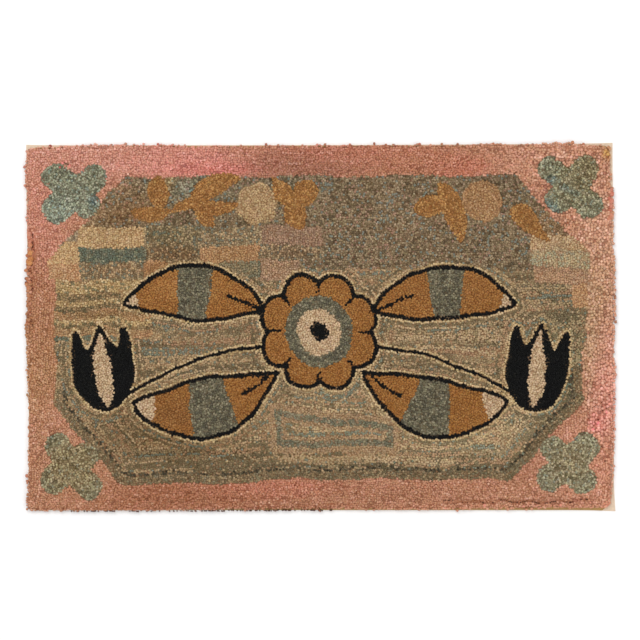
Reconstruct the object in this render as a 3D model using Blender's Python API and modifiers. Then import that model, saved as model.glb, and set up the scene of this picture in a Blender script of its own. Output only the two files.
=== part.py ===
"""A hooked rug, 40 by 25 inches, lying flat with its pile up.

Three pieces lie one on another: a cotton lining against the floor, a hessian foundation with a
hem turned under all round, and the wool pile that is hooked through the foundation. The rug's
width runs along X and its depth along Y, and the floor is at Z = 0.
"""

import math
from collections import namedtuple

import bmesh
import bpy
from mathutils import Vector

INCH = 0.0254
MM = 0.001

RUG_WIDTH = 40 * INCH
RUG_DEPTH = 25 * INCH
LAYER_GAP = 0.3 * MM

LINING_THICKNESS = 1.0 * MM
LINING_CORNER_RADIUS = 1.5 * MM

HESSIAN_THICKNESS = 1.2 * MM
HEM_WIDTH = 28 * MM
HEM_STEP_RUN = 14 * MM
FOLD_BULGE = 0.6 * MM
FOUNDATION_INSET_X = 7.2 * MM
FOUNDATION_INSET_Y = 3.2 * MM
CLOTH_SHIFT_Y = -1.8 * MM

PILE_INSET = 1.9 * MM
PILE_HEIGHT = 6.0 * MM
PILE_UNEVENNESS = 0.5 * MM
PILE_RIM_RADIUS = 2.4 * MM
CORNER_RUN = 8 * MM
CORNER_PULL = 3.0 * MM
CREASE_INSET = 15 * MM
CREASE_HALF_WIDTH = 6 * MM
RIM_WANDER_REACH = 30 * MM

PILE_GRID_STEP = 25 * MM
FOUNDATION_GRID_STEP = 50 * MM

# Outward shift of the pile's edge, from one end of a side to the other: west and east run from
# south to north, south and north from west to east.
EdgePoint = namedtuple("EdgePoint", "along outward_mm")
PILE_EDGES = {
    "west": (
        EdgePoint(0.00, 1.0),
        EdgePoint(0.07, -1.8),
        EdgePoint(0.18, -3.4),
        EdgePoint(0.30, -3.4),
        EdgePoint(0.40, -0.2),
        EdgePoint(0.51, 1.2),
        EdgePoint(0.61, -1.8),
        EdgePoint(0.67, 0.2),
        EdgePoint(0.74, -1.8),
        EdgePoint(0.85, -0.4),
        EdgePoint(0.94, 2.6),
        EdgePoint(1.00, -1.8),
    ),
    "east": (
        EdgePoint(0.00, -3.0),
        EdgePoint(0.07, -2.4),
        EdgePoint(0.17, 1.6),
        EdgePoint(0.38, 2.6),
        EdgePoint(0.45, 0.4),
        EdgePoint(0.55, 2.8),
        EdgePoint(0.64, 2.2),
        EdgePoint(0.78, -1.2),
        EdgePoint(0.83, 1.0),
        EdgePoint(0.89, -2.6),
        EdgePoint(1.00, -4.2),
    ),
    "south": (
        EdgePoint(0.00, -1.2),
        EdgePoint(0.05, 0.2),
        EdgePoint(0.17, 0.0),
        EdgePoint(0.45, -2.6),
        EdgePoint(0.72, -1.4),
        EdgePoint(0.78, -4.2),
        EdgePoint(0.90, -5.2),
        EdgePoint(1.00, -5.6),
    ),
    "north": (
        EdgePoint(0.00, -3.2),
        EdgePoint(0.05, -1.8),
        EdgePoint(0.10, 1.4),
        EdgePoint(0.22, 1.4),
        EdgePoint(0.28, -0.6),
        EdgePoint(0.72, 1.0),
        EdgePoint(0.78, 3.0),
        EdgePoint(0.84, 2.0),
        EdgePoint(0.93, 5.2),
        EdgePoint(0.97, 0.4),
        EdgePoint(1.00, -2.0),
    ),
}

# Where the outer rows of loops part from the rest and the pile sinks, along a side.
Crease = namedtuple("Crease", "side start end depth_mm")
PILE_CREASES = (
    Crease("south", 0.70, 0.98, 2.2),
    Crease("west", 0.66, 0.76, 2.6),
    Crease("west", 0.58, 0.64, 1.4),
    Crease("west", 0.48, 0.54, 2.0),
)

# The small waves of the pile's edge.
Wave = namedtuple("Wave", "length_mm height_mm phase")
EDGE_RIPPLES = (Wave(93, 0.5, 0.4), Wave(61, 0.4, 2.1))

# The low hills of the pile's top: the way from a crest to the next dip along X and along Y, and
# each set's share of the unevenness.
Hill = namedtuple("Hill", "along_x_mm along_y_mm share phase")
PILE_HILLS = (
    Hill(310, 830, 0.40, 0.6),
    Hill(-470, 290, 0.35, 2.9),
    Hill(130, -170, 0.25, 4.4),
)

# The lining was cut a little out of square: how far each corner lies outside the rug's own.
Corner = namedtuple("Corner", "side_x side_y outward_x_mm outward_y_mm")
LINING_CORNERS = (
    Corner(-1, -1, -6.0, -3.4),
    Corner(1, -1, 2.6, 1.0),
    Corner(1, 1, 0.2, 2.2),
    Corner(-1, 1, 0.0, -1.1),
)

# Heights of the layers above the floor, out over the hem and in over the single cloth.
HESSIAN_BOTTOM = LINING_THICKNESS + LAYER_GAP
HEM_RISE = HESSIAN_THICKNESS + LAYER_GAP
PILE_BOTTOM = HESSIAN_BOTTOM + HESSIAN_THICKNESS + LAYER_GAP

Finish = namedtuple("Finish", "colour roughness")
WOOL = Finish((0.42, 0.27, 0.16, 1.0), 0.95)
HESSIAN = Finish((0.42, 0.29, 0.12, 1.0), 0.95)
COTTON = Finish((0.72, 0.62, 0.46, 1.0), 0.90)


def clear_scene():
    """Removes whatever the scene holds at the start."""
    for thing in list(bpy.data.objects):
        bpy.data.objects.remove(thing, do_unlink=True)


def make_material(name, finish):
    """A plain cloth material."""
    material = bpy.data.materials.new(name)
    material.use_nodes = True
    shader = material.node_tree.nodes["Principled BSDF"]
    shader.inputs["Base Color"].default_value = finish.colour
    shader.inputs["Roughness"].default_value = finish.roughness
    shader.inputs["Metallic"].default_value = 0.0
    return material


def add_object(name, mesh, collection, finish):
    """Puts a finished mesh or curve in the rug's collection, in its material."""
    piece = bpy.data.objects.new(name, mesh)
    piece.data.materials.append(make_material(name + "_cloth", finish))
    collection.objects.link(piece)
    return piece


def stations(half, rim, step):
    """Places of the grid's lines across one side: close at both rims, even between them."""
    inner_half = half - rim[-1]
    count = round(2 * inner_half / step)
    between = [-inner_half + 2 * inner_half * k / count for k in range(count + 1)]
    outer = [-half + inset for inset in rim[:-1]]
    return outer + between + [-place for place in reversed(outer)]


def grid_on(across, up):
    """A flat grid whose lines lie at the given places."""
    sheet = bmesh.new()
    columns, rows = len(across) - 1, len(up) - 1
    bmesh.ops.create_grid(sheet, x_segments=columns, y_segments=rows, size=0.5)
    for vert in sheet.verts:
        column = round((vert.co.x + 0.5) * columns)
        row = round((vert.co.y + 0.5) * rows)
        vert.co = Vector((across[column], up[row], 0.0))
    return sheet


def eased(share):
    """A smooth step from 0 to 1."""
    share = min(max(share, 0.0), 1.0)
    return share * share * (3 - 2 * share)


def along_table(points, along):
    """The outward shift at a place along a side, smoothly between the table's rows."""
    for before, after in zip(points, points[1:]):
        if along <= after.along:
            share = eased((along - before.along) / (after.along - before.along))
            shift = before.outward_mm + (after.outward_mm - before.outward_mm) * share
            return shift * MM
    return points[-1].outward_mm * MM


def ripple(place):
    """The small waves along an edge."""
    return sum(
        wave.height_mm * MM * math.sin(math.tau * place / (wave.length_mm * MM) + wave.phase)
        for wave in EDGE_RIPPLES
    )


def corner_pull(x, y, half_x, half_y):
    """The step inward that rounds a sheet's corner point, and nothing elsewhere."""
    near = 0.1 * MM
    if half_x - abs(x) > near or half_y - abs(y) > near:
        return Vector((0.0, 0.0, 0.0))
    return Vector((-math.copysign(CORNER_PULL, x), -math.copysign(CORNER_PULL, y), 0.0))


def edge_wander(x, y, half_x, half_y):
    """The shift of a point near the pile's rim, as the worn edge wanders: none in the middle."""
    along_x = (x + half_x) / (2 * half_x)
    along_y = (y + half_y) / (2 * half_y)
    west = max(0.0, 1 - (x + half_x) / RIM_WANDER_REACH)
    east = max(0.0, 1 - (half_x - x) / RIM_WANDER_REACH)
    south = max(0.0, 1 - (y + half_y) / RIM_WANDER_REACH)
    north = max(0.0, 1 - (half_y - y) / RIM_WANDER_REACH)
    shift_x = east * (along_table(PILE_EDGES["east"], along_y) + ripple(y))
    shift_x -= west * (along_table(PILE_EDGES["west"], along_y) + ripple(-y))
    shift_y = north * (along_table(PILE_EDGES["north"], along_x) + ripple(x))
    shift_y -= south * (along_table(PILE_EDGES["south"], along_x) + ripple(-x))
    return Vector((shift_x, shift_y, 0.0))


def hem_lift(x, y):
    """How far the turned hem raises the cloth over it, at a point."""
    foundation_x = RUG_WIDTH / 2 - FOUNDATION_INSET_X
    foundation_y = RUG_DEPTH / 2 - FOUNDATION_INSET_Y
    inset = min(foundation_x - abs(x), foundation_y - abs(y))
    share = (inset - HEM_WIDTH) / HEM_STEP_RUN
    return HEM_RISE * (1 - min(max(share, 0.0), 1.0))


def crease_depth(x, y, half_x, half_y):
    """How far the creases sink the pile at a point."""
    along_x = (x + half_x) / (2 * half_x)
    along_y = (y + half_y) / (2 * half_y)
    reach = {"south": (along_x, y + half_y), "west": (along_y, x + half_x)}
    depth = 0.0
    for crease in PILE_CREASES:
        along, inset = reach[crease.side]
        share = (along - crease.start) / (crease.end - crease.start)
        across = 1 - abs(inset - CREASE_INSET) / CREASE_HALF_WIDTH
        if 0 < share < 1 and across > 0:
            depth += crease.depth_mm * MM * across * min(1.0, 3 * math.sin(math.pi * share))
    return depth


def height_share(x, y, half_x, half_y):
    """The pile's height at a point, as a share of the tallest: its low hills and its creases."""
    hills = 0.0
    for hill in PILE_HILLS:
        half_waves = x / (hill.along_x_mm * MM) + y / (hill.along_y_mm * MM)
        hills += hill.share * math.sin(math.pi * half_waves + hill.phase)
    sunk = PILE_UNEVENNESS * (1 - hills) / 2 + crease_depth(x, y, half_x, half_y)
    return 1 - sunk / PILE_HEIGHT


def add_solidify(piece, thickness, offset):
    """Gives a sheet its thickness: offset 1 builds upwards, 0 both ways."""
    shell = piece.modifiers.new("Thickness", "SOLIDIFY")
    shell.thickness = thickness
    shell.offset = offset
    shell.use_even_offset = True
    return shell


def add_bevel(piece, width, segments):
    """Rounds the rim, and leaves the shallow slopes alone."""
    round_rim = piece.modifiers.new("Rounded rim", "BEVEL")
    round_rim.width = width
    round_rim.segments = segments
    round_rim.limit_method = "ANGLE"
    round_rim.angle_limit = math.radians(50)


def pile_rim(foundation_inset):
    """Insets of the pile's grid lines at one rim: its corner, its crease and the hem's step."""
    step_start = HEM_WIDTH + foundation_inset - PILE_INSET
    crease_end = CREASE_INSET + CREASE_HALF_WIDTH
    return 0.0, CORNER_RUN, CREASE_INSET, crease_end, step_start, step_start + HEM_STEP_RUN


def build_pile(collection):
    """The wool pile: a dense slab with a rounded, wandering rim and a slightly uneven top."""
    half_x = RUG_WIDTH / 2 - PILE_INSET
    half_y = RUG_DEPTH / 2 - PILE_INSET
    sheet = grid_on(
        stations(half_x, pile_rim(FOUNDATION_INSET_X), PILE_GRID_STEP),
        stations(half_y, pile_rim(FOUNDATION_INSET_Y), PILE_GRID_STEP),
    )
    weights = sheet.verts.layers.deform.verify()
    for vert in sheet.verts:
        x, y = vert.co.x, vert.co.y
        vert[weights][0] = height_share(x, y, half_x, half_y)
        vert.co.z = PILE_BOTTOM + hem_lift(x, y)
        vert.co += edge_wander(x, y, half_x, half_y) + corner_pull(x, y, half_x, half_y)
    mesh = bpy.data.meshes.new("pile")
    sheet.to_mesh(mesh)
    sheet.free()
    pile = add_object("pile", mesh, collection, WOOL)
    pile.location.y = CLOTH_SHIFT_Y
    shell = add_solidify(pile, PILE_HEIGHT, 1)
    shell.vertex_group = pile.vertex_groups.new(name="Loop height").name
    add_bevel(pile, PILE_RIM_RADIUS, 2)
    mesh.shade_smooth()
    mesh.set_sharp_from_angle(angle=math.radians(60))
    return pile


def rim_edges(sheet):
    """The edges round the outside of an open sheet."""
    return [edge for edge in sheet.edges if edge.is_boundary]


def extruded_verts(sheet):
    """Extrudes the sheet's outer edges in place and gives the new points."""
    made = bmesh.ops.extrude_edge_only(sheet, edges=rim_edges(sheet))
    return [item for item in made["geom"] if isinstance(item, bmesh.types.BMVert)]


def scaled_rim(verts, share_x, share_y, height):
    """Sets a ring of rim points out or in by a share of its size, at one height."""
    for vert in verts:
        vert.co = Vector((vert.co.x * share_x, vert.co.y * share_y, height))


def turn_hem(sheet, half_x, half_y):
    """Folds the sheet's rim round and under, mitred at the corners."""
    bottom = HESSIAN_BOTTOM + HESSIAN_THICKNESS / 2
    for vert in sheet.verts:
        vert.co += corner_pull(vert.co.x, vert.co.y, half_x, half_y)
    out_x, out_y = 1 + FOLD_BULGE / half_x, 1 + FOLD_BULGE / half_y
    scaled_rim(extruded_verts(sheet), out_x, out_y, bottom + HEM_RISE / 2)
    scaled_rim(extruded_verts(sheet), 1 / out_x, 1 / out_y, bottom)
    flap = extruded_verts(sheet)
    inner_x, inner_y = half_x - HEM_WIDTH, half_y - HEM_WIDTH
    for vert in flap:
        vert.co.x = min(max(vert.co.x, -inner_x), inner_x)
        vert.co.y = min(max(vert.co.y, -inner_y), inner_y)
    bmesh.ops.remove_doubles(sheet, verts=flap, dist=0.01 * MM)


def build_foundation(collection):
    """The hessian that carries the loops, with its hem turned under."""
    half_x = RUG_WIDTH / 2 - FOUNDATION_INSET_X
    half_y = RUG_DEPTH / 2 - FOUNDATION_INSET_Y
    rim = (0.0, CORNER_RUN, HEM_WIDTH, HEM_WIDTH + HEM_STEP_RUN)
    sheet = grid_on(
        stations(half_x, rim, FOUNDATION_GRID_STEP),
        stations(half_y, rim, FOUNDATION_GRID_STEP),
    )
    for vert in sheet.verts:
        x, y = vert.co.x, vert.co.y
        vert.co.z = HESSIAN_BOTTOM + HESSIAN_THICKNESS / 2 + hem_lift(x, y)
    turn_hem(sheet, half_x, half_y)
    bmesh.ops.recalc_face_normals(sheet, faces=sheet.faces)
    mesh = bpy.data.meshes.new("foundation")
    sheet.to_mesh(mesh)
    sheet.free()
    foundation = add_object("foundation", mesh, collection, HESSIAN)
    foundation.location.y = CLOTH_SHIFT_Y
    add_solidify(foundation, HESSIAN_THICKNESS, 0)
    return foundation


def lining_outline():
    """The lining's corners, each rounded by a short arc, as points in order."""
    arc_steps = 4
    outline = []
    for corner in LINING_CORNERS:
        reach_x = RUG_WIDTH / 2 - LINING_CORNER_RADIUS
        reach_y = RUG_DEPTH / 2 - LINING_CORNER_RADIUS
        centre_x = corner.side_x * (reach_x + corner.outward_x_mm * MM)
        centre_y = corner.side_y * (reach_y + corner.outward_y_mm * MM)
        middle = math.atan2(corner.side_y, corner.side_x)
        for step in range(arc_steps + 1):
            turn = middle + math.pi / 2 * (step / arc_steps - 0.5)
            outline.append(
                (
                    centre_x + LINING_CORNER_RADIUS * math.cos(turn),
                    centre_y + LINING_CORNER_RADIUS * math.sin(turn),
                )
            )
    return outline


def build_lining(collection):
    """The cotton lining that covers the rug's back."""
    outline = lining_outline()
    flat = bpy.data.curves.new("lining", "CURVE")
    flat.dimensions = "2D"
    flat.fill_mode = "BOTH"
    flat.extrude = LINING_THICKNESS / 2
    spline = flat.splines.new("POLY")
    spline.points.add(len(outline) - 1)
    for point, (x, y) in zip(spline.points, outline):
        point.co = (x, y, 0.0, 1.0)
    spline.use_cyclic_u = True
    lining = add_object("lining", flat, collection, COTTON)
    lining.location.z = LINING_THICKNESS / 2
    return lining


def centre_on_origin(pieces):
    """Shifts the whole rug so that the middle of its box stands over the origin."""
    bpy.context.view_layer.update()
    graph = bpy.context.evaluated_depsgraph_get()
    corners = []
    for piece in pieces:
        ready = piece.evaluated_get(graph)
        corners += [ready.matrix_world @ Vector(corner) for corner in ready.bound_box]
    middle_x = (min(c.x for c in corners) + max(c.x for c in corners)) / 2
    middle_y = (min(c.y for c in corners) + max(c.y for c in corners)) / 2
    for piece in pieces:
        piece.location.x -= middle_x
        piece.location.y -= middle_y


def main():
    """Builds the rug from the floor up."""
    clear_scene()
    rug = bpy.data.collections.new("hooked_rug")
    bpy.context.scene.collection.children.link(rug)
    lining = build_lining(rug)
    foundation = build_foundation(rug)
    pile = build_pile(rug)
    centre_on_origin((lining, foundation, pile))


main()
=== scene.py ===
"""The looks of a hooked rug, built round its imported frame.

The rug lies flat with its pile up. The pattern is first drawn on the hessian, then hooked row by
row with wool loops, as the real one is, and the hessian and the cotton lining lie under it. The
pattern is laid out in millimetres on the rug's face, with its middle at (0, 0), X to the right
and Y to the top of the photograph. Meshes are in metres.
"""

import logging
import math
from collections.abc import Callable, Iterable
from dataclasses import dataclass, field, replace
from enum import Enum, IntEnum
from typing import NamedTuple

import bmesh
import bpy
import numpy as np
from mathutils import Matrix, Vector
from mathutils.bvhtree import BVHTree


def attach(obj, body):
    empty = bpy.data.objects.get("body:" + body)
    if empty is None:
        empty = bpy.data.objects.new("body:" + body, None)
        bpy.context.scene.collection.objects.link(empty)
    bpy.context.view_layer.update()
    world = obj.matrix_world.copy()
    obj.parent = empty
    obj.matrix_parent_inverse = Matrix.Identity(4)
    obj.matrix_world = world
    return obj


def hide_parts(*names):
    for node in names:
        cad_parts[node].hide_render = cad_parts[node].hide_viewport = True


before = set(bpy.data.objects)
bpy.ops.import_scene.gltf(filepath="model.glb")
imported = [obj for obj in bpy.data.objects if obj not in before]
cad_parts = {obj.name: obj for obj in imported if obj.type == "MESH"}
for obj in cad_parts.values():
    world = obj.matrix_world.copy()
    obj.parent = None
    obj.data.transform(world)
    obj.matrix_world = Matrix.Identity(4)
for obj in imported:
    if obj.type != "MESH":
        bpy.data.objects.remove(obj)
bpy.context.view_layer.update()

LOG = logging.getLogger("hooked_rug")
MM = 0.001

PHOTO_SIDE_PX = 640
PHOTO_MM_PER_PX = 1.7265
RUG_CENTRE_PX = (320.05, 326.9)

LOOP_PITCH = 3.75
ROW_PITCH = 3.7
LOOP_ROOM = 2.95
SEED = 1908
DEPTH_SHARE = 0.62

Pair = tuple[float, float]


class Zone(IntEnum):
    """What a spot of the pattern is hooked as."""

    BORDER = 0
    CORNER_LEAF = 1
    EDGE = 2
    EDGE_DARK = 3
    TWEED = 4
    STREAKS = 5
    BEIGE_BAR = 6
    TEAL_BAR = 7
    TWEED_BAR = 8
    PEACH_BAR = 9
    MAUVE_BAR = 10
    OCHRE = 11
    SLATE = 12
    CREAM = 13
    BLACK = 14
    HALO = 15
    SPRAY = 16
    BLOOM = 17
    DISC = 18
    PALE_BAR = 19
    KHAKI_BAR = 20
    DARK_BAR = 21
    # Dark loops painted as shade: down in parted rows, and as a shadow under the lower rim.
    CREASE = 22
    TAN_ROW = 23
    GREY_ROW = 24


GROUNDS = (Zone.TWEED, Zone.STREAKS, Zone.TAN_ROW, Zone.GREY_ROW)
BAR_ZONES = (
    *(Zone.BEIGE_BAR, Zone.TEAL_BAR, Zone.TWEED_BAR, Zone.PEACH_BAR),
    *(Zone.MAUVE_BAR, Zone.PALE_BAR, Zone.KHAKI_BAR, Zone.DARK_BAR),
)
FIGURE_ZONES = (Zone.OCHRE, Zone.SLATE, Zone.CREAM, Zone.BLACK)
SPRAY_ZONES = (Zone.SPRAY, Zone.BLOOM, Zone.DISC)


class Shade(NamedTuple):
    """One dyed wool, as it looks in daylight, and how much of a mix it makes up."""

    red: int
    green: int
    blue: int
    weight: float


class Patch(NamedTuple):
    """A soft-edged area hooked in another wool, or faded: its middle, reach, strength and colour."""

    x: float
    y: float
    reach_x: float
    reach_y: float
    strength: float
    red: int
    green: int
    blue: int


@dataclass(frozen=True)
class WoolMix:
    """The wools that one zone is hooked from.

    Attributes:
        shades: the dyed wools.
        run: how far one strip goes along its row before the next, in millimetres.
        stray: the share of loops that take a shade of their own.
        spread: how much single loops differ in lightness.
    """

    shades: tuple[Shade, ...]
    run: float
    stray: float
    spread: float

    def colours(self) -> np.ndarray:
        """The shades' red, green and blue, a row for each."""
        return np.array([shade[:3] for shade in self.shades], float)

    def weights(self) -> np.ndarray:
        """How much of the mix each shade makes up."""
        return np.array([shade.weight for shade in self.shades])


def wools(run: float, stray: float, spread: float, *shades: tuple[float, ...]) -> WoolMix:
    """A wool mix from its measures, then a row for each shade: red, green, blue and weight."""
    return WoolMix(tuple(Shade(*shade) for shade in shades), run, stray, spread)


def patches(*rows: tuple[float, ...]) -> tuple[Patch, ...]:
    """Patches from a row of columns for each."""
    return tuple(Patch(*row) for row in rows)


MIXES: dict[Zone, WoolMix] = {
    Zone.BORDER: wools(40, 0.6, 0.04,
        (180, 128, 102, 4.0), (172, 120, 94, 2.4), (188, 134, 111, 2.4), (200, 150, 128, 0.5),
        (148, 98, 76, 0.6)),
    Zone.CORNER_LEAF: wools(9, 0.95, 0.09,
        (138, 134, 112, 3.0), (116, 112, 92, 2.6), (158, 153, 130, 1.8), (92, 90, 72, 1.1),
        (126, 130, 116, 0.8)),
    Zone.EDGE: wools(30, 0.75, 0.09,
        (126, 103, 76, 3.0), (106, 90, 66, 2.2), (146, 122, 92, 1.6), (118, 105, 82, 1.0)),
    Zone.EDGE_DARK: wools(30, 0.4, 0.2,
        (68, 59, 45, 2.0), (92, 80, 61, 1.6)),
    Zone.TWEED: wools(12, 0.75, 0.06,
        (126, 105, 80, 3.0), (110, 91, 67, 2.6), (141, 119, 93, 2.2), (90, 73, 53, 1.4),
        (142, 110, 90, 0.9), (116, 114, 102, 1.0), (152, 130, 104, 0.7)),
    Zone.STREAKS: wools(170, 0.16, 0.07,
        (160, 132, 100, 3.0), (142, 119, 90, 2.4), (121, 102, 76, 2.6), (152, 119, 90, 1.8),
        (171, 143, 111, 1.6), (106, 90, 66, 1.6), (116, 113, 97, 1.7)),
    Zone.BEIGE_BAR: wools(20, 0.6, 0.07,
        (184, 150, 111, 3.0), (194, 162, 124, 1.0), (172, 138, 100, 1.4)),
    Zone.TEAL_BAR: wools(20, 0.6, 0.09,
        (104, 102, 84, 2.0), (92, 95, 80, 2.0), (122, 115, 93, 1.0)),
    Zone.TWEED_BAR: wools(8, 0.9, 0.06,
        (146, 124, 96, 2.4), (116, 98, 74, 2.2), (168, 142, 110, 1.0), (112, 108, 92, 1.0)),
    Zone.PEACH_BAR: wools(24, 0.5, 0.07,
        (175, 133, 97, 2.0), (167, 126, 92, 2.0), (183, 144, 109, 1.0)),
    Zone.MAUVE_BAR: wools(24, 0.5, 0.07,
        (148, 116, 92, 2.0), (136, 106, 86, 1.6), (158, 124, 102, 1.0)),
    Zone.PALE_BAR: wools(26, 0.45, 0.08,
        (170, 146, 114, 2.4), (150, 138, 113, 1.4), (160, 130, 101, 1.0)),
    Zone.KHAKI_BAR: wools(14, 0.8, 0.06,
        (172, 142, 102, 3.0), (154, 126, 88, 1.6), (188, 160, 122, 1.4), (122, 110, 82, 0.7)),
    Zone.DARK_BAR: wools(12, 0.7, 0.08,
        (134, 109, 79, 3.0), (150, 122, 89, 1.6), (102, 88, 63, 1.6)),
    Zone.TAN_ROW: wools(60, 0.5, 0.07,
        (158, 127, 96, 3.0), (146, 118, 90, 1.8), (168, 138, 106, 1.2)),
    Zone.GREY_ROW: wools(20, 0.8, 0.07,
        (122, 112, 90, 3.0), (106, 101, 83, 1.8), (138, 125, 101, 1.6), (140, 113, 88, 1.2)),
    # Painted shade: the dark loops down in parted rows and under the lower rim.
    Zone.CREASE: wools(8, 0.8, 0.2,
        (84, 46, 34, 2.0), (64, 38, 28, 1.0)),
    Zone.OCHRE: wools(70, 0.4, 0.03,
        (147, 98, 50, 3.0), (139, 92, 46, 2.0), (155, 106, 57, 1.2)),
    Zone.SLATE: wools(10, 0.8, 0.09,
        (109, 100, 80, 3.0), (87, 80, 65, 2.4), (130, 119, 97, 1.2)),
    Zone.CREAM: wools(40, 0.5, 0.06,
        (181, 152, 122, 3.0), (193, 164, 134, 1.2), (169, 140, 110, 1.2)),
    Zone.BLACK: wools(60, 0.4, 0.1,
        (8, 8, 7, 3.0), (15, 14, 12, 1.0)),
    Zone.HALO: wools(44, 0.45, 0.06,
        (178, 150, 112, 3.0), (188, 160, 124, 1.5), (156, 128, 92, 1.0)),
    Zone.SPRAY: wools(24, 0.5, 0.09,
        (154, 108, 62, 2.0), (138, 94, 52, 1.6), (166, 122, 74, 1.0)),
    Zone.BLOOM: wools(24, 0.5, 0.06,
        (168, 136, 101, 3.0), (178, 148, 112, 1.0), (152, 122, 88, 1.2)),
    Zone.DISC: wools(24, 0.5, 0.07,
        (160, 121, 84, 3.0), (150, 112, 77, 1.4), (170, 132, 97, 1.0)),
}

# The stronger, browner and paler areas of the border, as old dyes and light left them.
BORDER_PATCHES = patches(
    (-400, 290, 110, 34, 1.6, 192, 136, 118), (-240, 290, 90, 26, 1.6, 198, 134, 120),
    (-190, 274, 60, 10, 1.8, 200, 122, 112), (-30, 278, 90, 26, 1.6, 158, 107, 86),
    (40, 300, 120, 20, 1.2, 182, 118, 98), (150, 286, 90, 30, 1.2, 173, 118, 92),
    (240, 276, 40, 16, 1.6, 180, 114, 92), (400, 290, 80, 40, 1.2, 190, 138, 114),
    (485, 180, 40, 80, 1.2, 196, 146, 122), (470, 20, 40, 110, 1.2, 181, 142, 112),
    (500, -60, 20, 90, 1.4, 202, 140, 122), (494, -122, 22, 50, 1.5, 206, 144, 128),
    (478, -166, 12, 14, 1.3, 220, 138, 130), (470, -240, 60, 70, 1.2, 192, 136, 112),
    (-480, 190, 36, 90, 1.4, 190, 131, 112), (-490, 40, 36, 70, 1.4, 170, 119, 90),
    (-504, 100, 6, 40, 2.0, 166, 104, 76), (-502, 16, 5, 34, 1.6, 160, 104, 78),
    (496, 300, 7, 8, 1.6, 190, 142, 88), (-488, -60, 40, 90, 1.4, 173, 126, 94),
    (-430, -250, 110, 80, 1.0, 178, 128, 100), (-250, -296, 120, 26, 1.6, 162, 107, 80),
    (-80, -280, 90, 14, 1.4, 182, 118, 96), (60, -298, 140, 26, 1.4, 170, 119, 93),
    (280, -288, 130, 30, 1.4, 178, 126, 100), (-90, -315, 260, 5, 2.2, 172, 117, 92),
    (300, -313, 190, 6, 2.6, 190, 134, 108),
)

# Darker, rustier and paler areas of the field's ground.
GROUND_PATCHES = patches(
    (-345, 196, 44, 22, 1.4, 126, 97, 69), (-318, 228, 26, 18, 1.3, 133, 106, 79),
    (-372, 206, 18, 18, 1.2, 140, 116, 90), (-263, 246, 12, 12, 1.6, 156, 123, 84),
    (-343, 243, 12, 10, 1.2, 153, 120, 94), (-394, 183, 12, 10, 1.2, 147, 121, 94),
    (401, 180, 24, 24, 1.4, 140, 112, 84), (-436, 158, 26, 24, 2.4, 154, 132, 108),
    (-230, 240, 70, 16, 1.2, 124, 116, 98), (-60, 246, 60, 14, 1.0, 118, 104, 84),
    (304, 254, 36, 7, 1.4, 112, 93, 73), (160, 190, 120, 60, 0.8, 132, 110, 86),
    (-260, -180, 110, 60, 1.0, 113, 91, 63), (0, -240, 360, 9, 1.2, 131, 112, 86),
    (-360, -80, 60, 40, 0.8, 130, 106, 78), (0, -170, 130, 60, 1.0, 148, 126, 96),
    (270, -178, 120, 60, 1.2, 158, 136, 106), (430, -60, 40, 90, 0.9, 124, 112, 86),
)

LEAF_PATCHES = patches(
    (-429, -243, 60, 60, 1.3, 138, 120, 90), (430, -235, 60, 60, 1.0, 141, 125, 97),
    (464, 268, 36, 34, 1.0, 134, 118, 89), (430, 236, 60, 56, 0.8, 134, 124, 97),
    (-392, 218, 9, 10, 1.0, 112, 121, 116), (400, 254, 9, 6, 2.2, 104, 112, 104),
    (421, 241, 7, 4, 2.2, 108, 114, 104), (431, 236, 7, 4, 2.2, 106, 112, 102),
    (442, 230, 7, 4, 2.2, 110, 116, 104), (394, 215, 6, 6, 2.2, 106, 116, 110),
    (401, 207, 6, 6, 2.2, 108, 117, 110), (408, 201, 6, 5, 2.0, 112, 118, 110),
    (-452, 196, 40, 36, 0.7, 138, 142, 128),
)

TWEED_BAR_PATCHES = patches(
    (-255, 157, 50, 17, 1.2, 122, 106, 79), (-155, 157, 50, 17, 1.2, 142, 120, 93),
    (-255, 126, 50, 13, 1.4, 125, 99, 71), (-50, 130, 50, 12, 1.2, 129, 105, 80),
    (-358, 98, 55, 14, 1.2, 142, 116, 87),
)

PEACH_BAR_PATCHES = patches(
    (-155, 126, 50, 14, 1.4, 158, 120, 84), (-255, 96, 50, 16, 1.6, 146, 106, 69),
    (-380, 20, 80, 8, 1.2, 142, 110, 76), (-380, -8, 80, 8, 1.2, 146, 117, 84),
)

EDGE_PATCHES = patches(
    (-440, 160, 30, 44, 2.4, 158, 134, 108), (-456, -20, 14, 160, 1.0, 148, 122, 92),
)

FIGURE_PATCHES = patches(
    (-230, 70, 60, 26, 0.9, 164, 116, 68), (-240, -150, 80, 30, 0.8, 132, 88, 48),
    (230, 64, 70, 30, 0.6, 148, 102, 60), (0, 60, 60, 30, 0.6, 152, 104, 56),
)

PATCHES = {
    Zone.BORDER: BORDER_PATCHES,
    Zone.CORNER_LEAF: LEAF_PATCHES,
    Zone.TWEED: GROUND_PATCHES,
    Zone.STREAKS: GROUND_PATCHES,
    Zone.OCHRE: FIGURE_PATCHES,
    Zone.EDGE: EDGE_PATCHES,
    Zone.BEIGE_BAR: patches((-361, 155, 60, 20, 1.2, 172, 140, 103), (408, 146, 50, 18, 1.2, 169, 139, 107)),
    Zone.TWEED_BAR: TWEED_BAR_PATCHES,
    Zone.PEACH_BAR: PEACH_BAR_PATCHES,
    Zone.TEAL_BAR: patches((-155, 99, 55, 14, 1.6, 128, 111, 85)),
    Zone.MAUVE_BAR: patches((-70, 99, 36, 18, 1.6, 158, 125, 98), (420, 89, 70, 18, 1.8, 163, 127, 99)),
}


def daylight(colours: np.ndarray) -> np.ndarray:
    """Turns colours from 0 to 255, as seen in daylight, into linear light.

    Args:
        colours: an array whose last axis is red, green and blue.

    Returns:
        An array of the same shape, from 0 to 1.
    """
    share = colours / 255.0
    return np.where(share <= 0.04045, share / 12.92, ((share + 0.055) / 1.055) ** 2.4)


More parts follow.
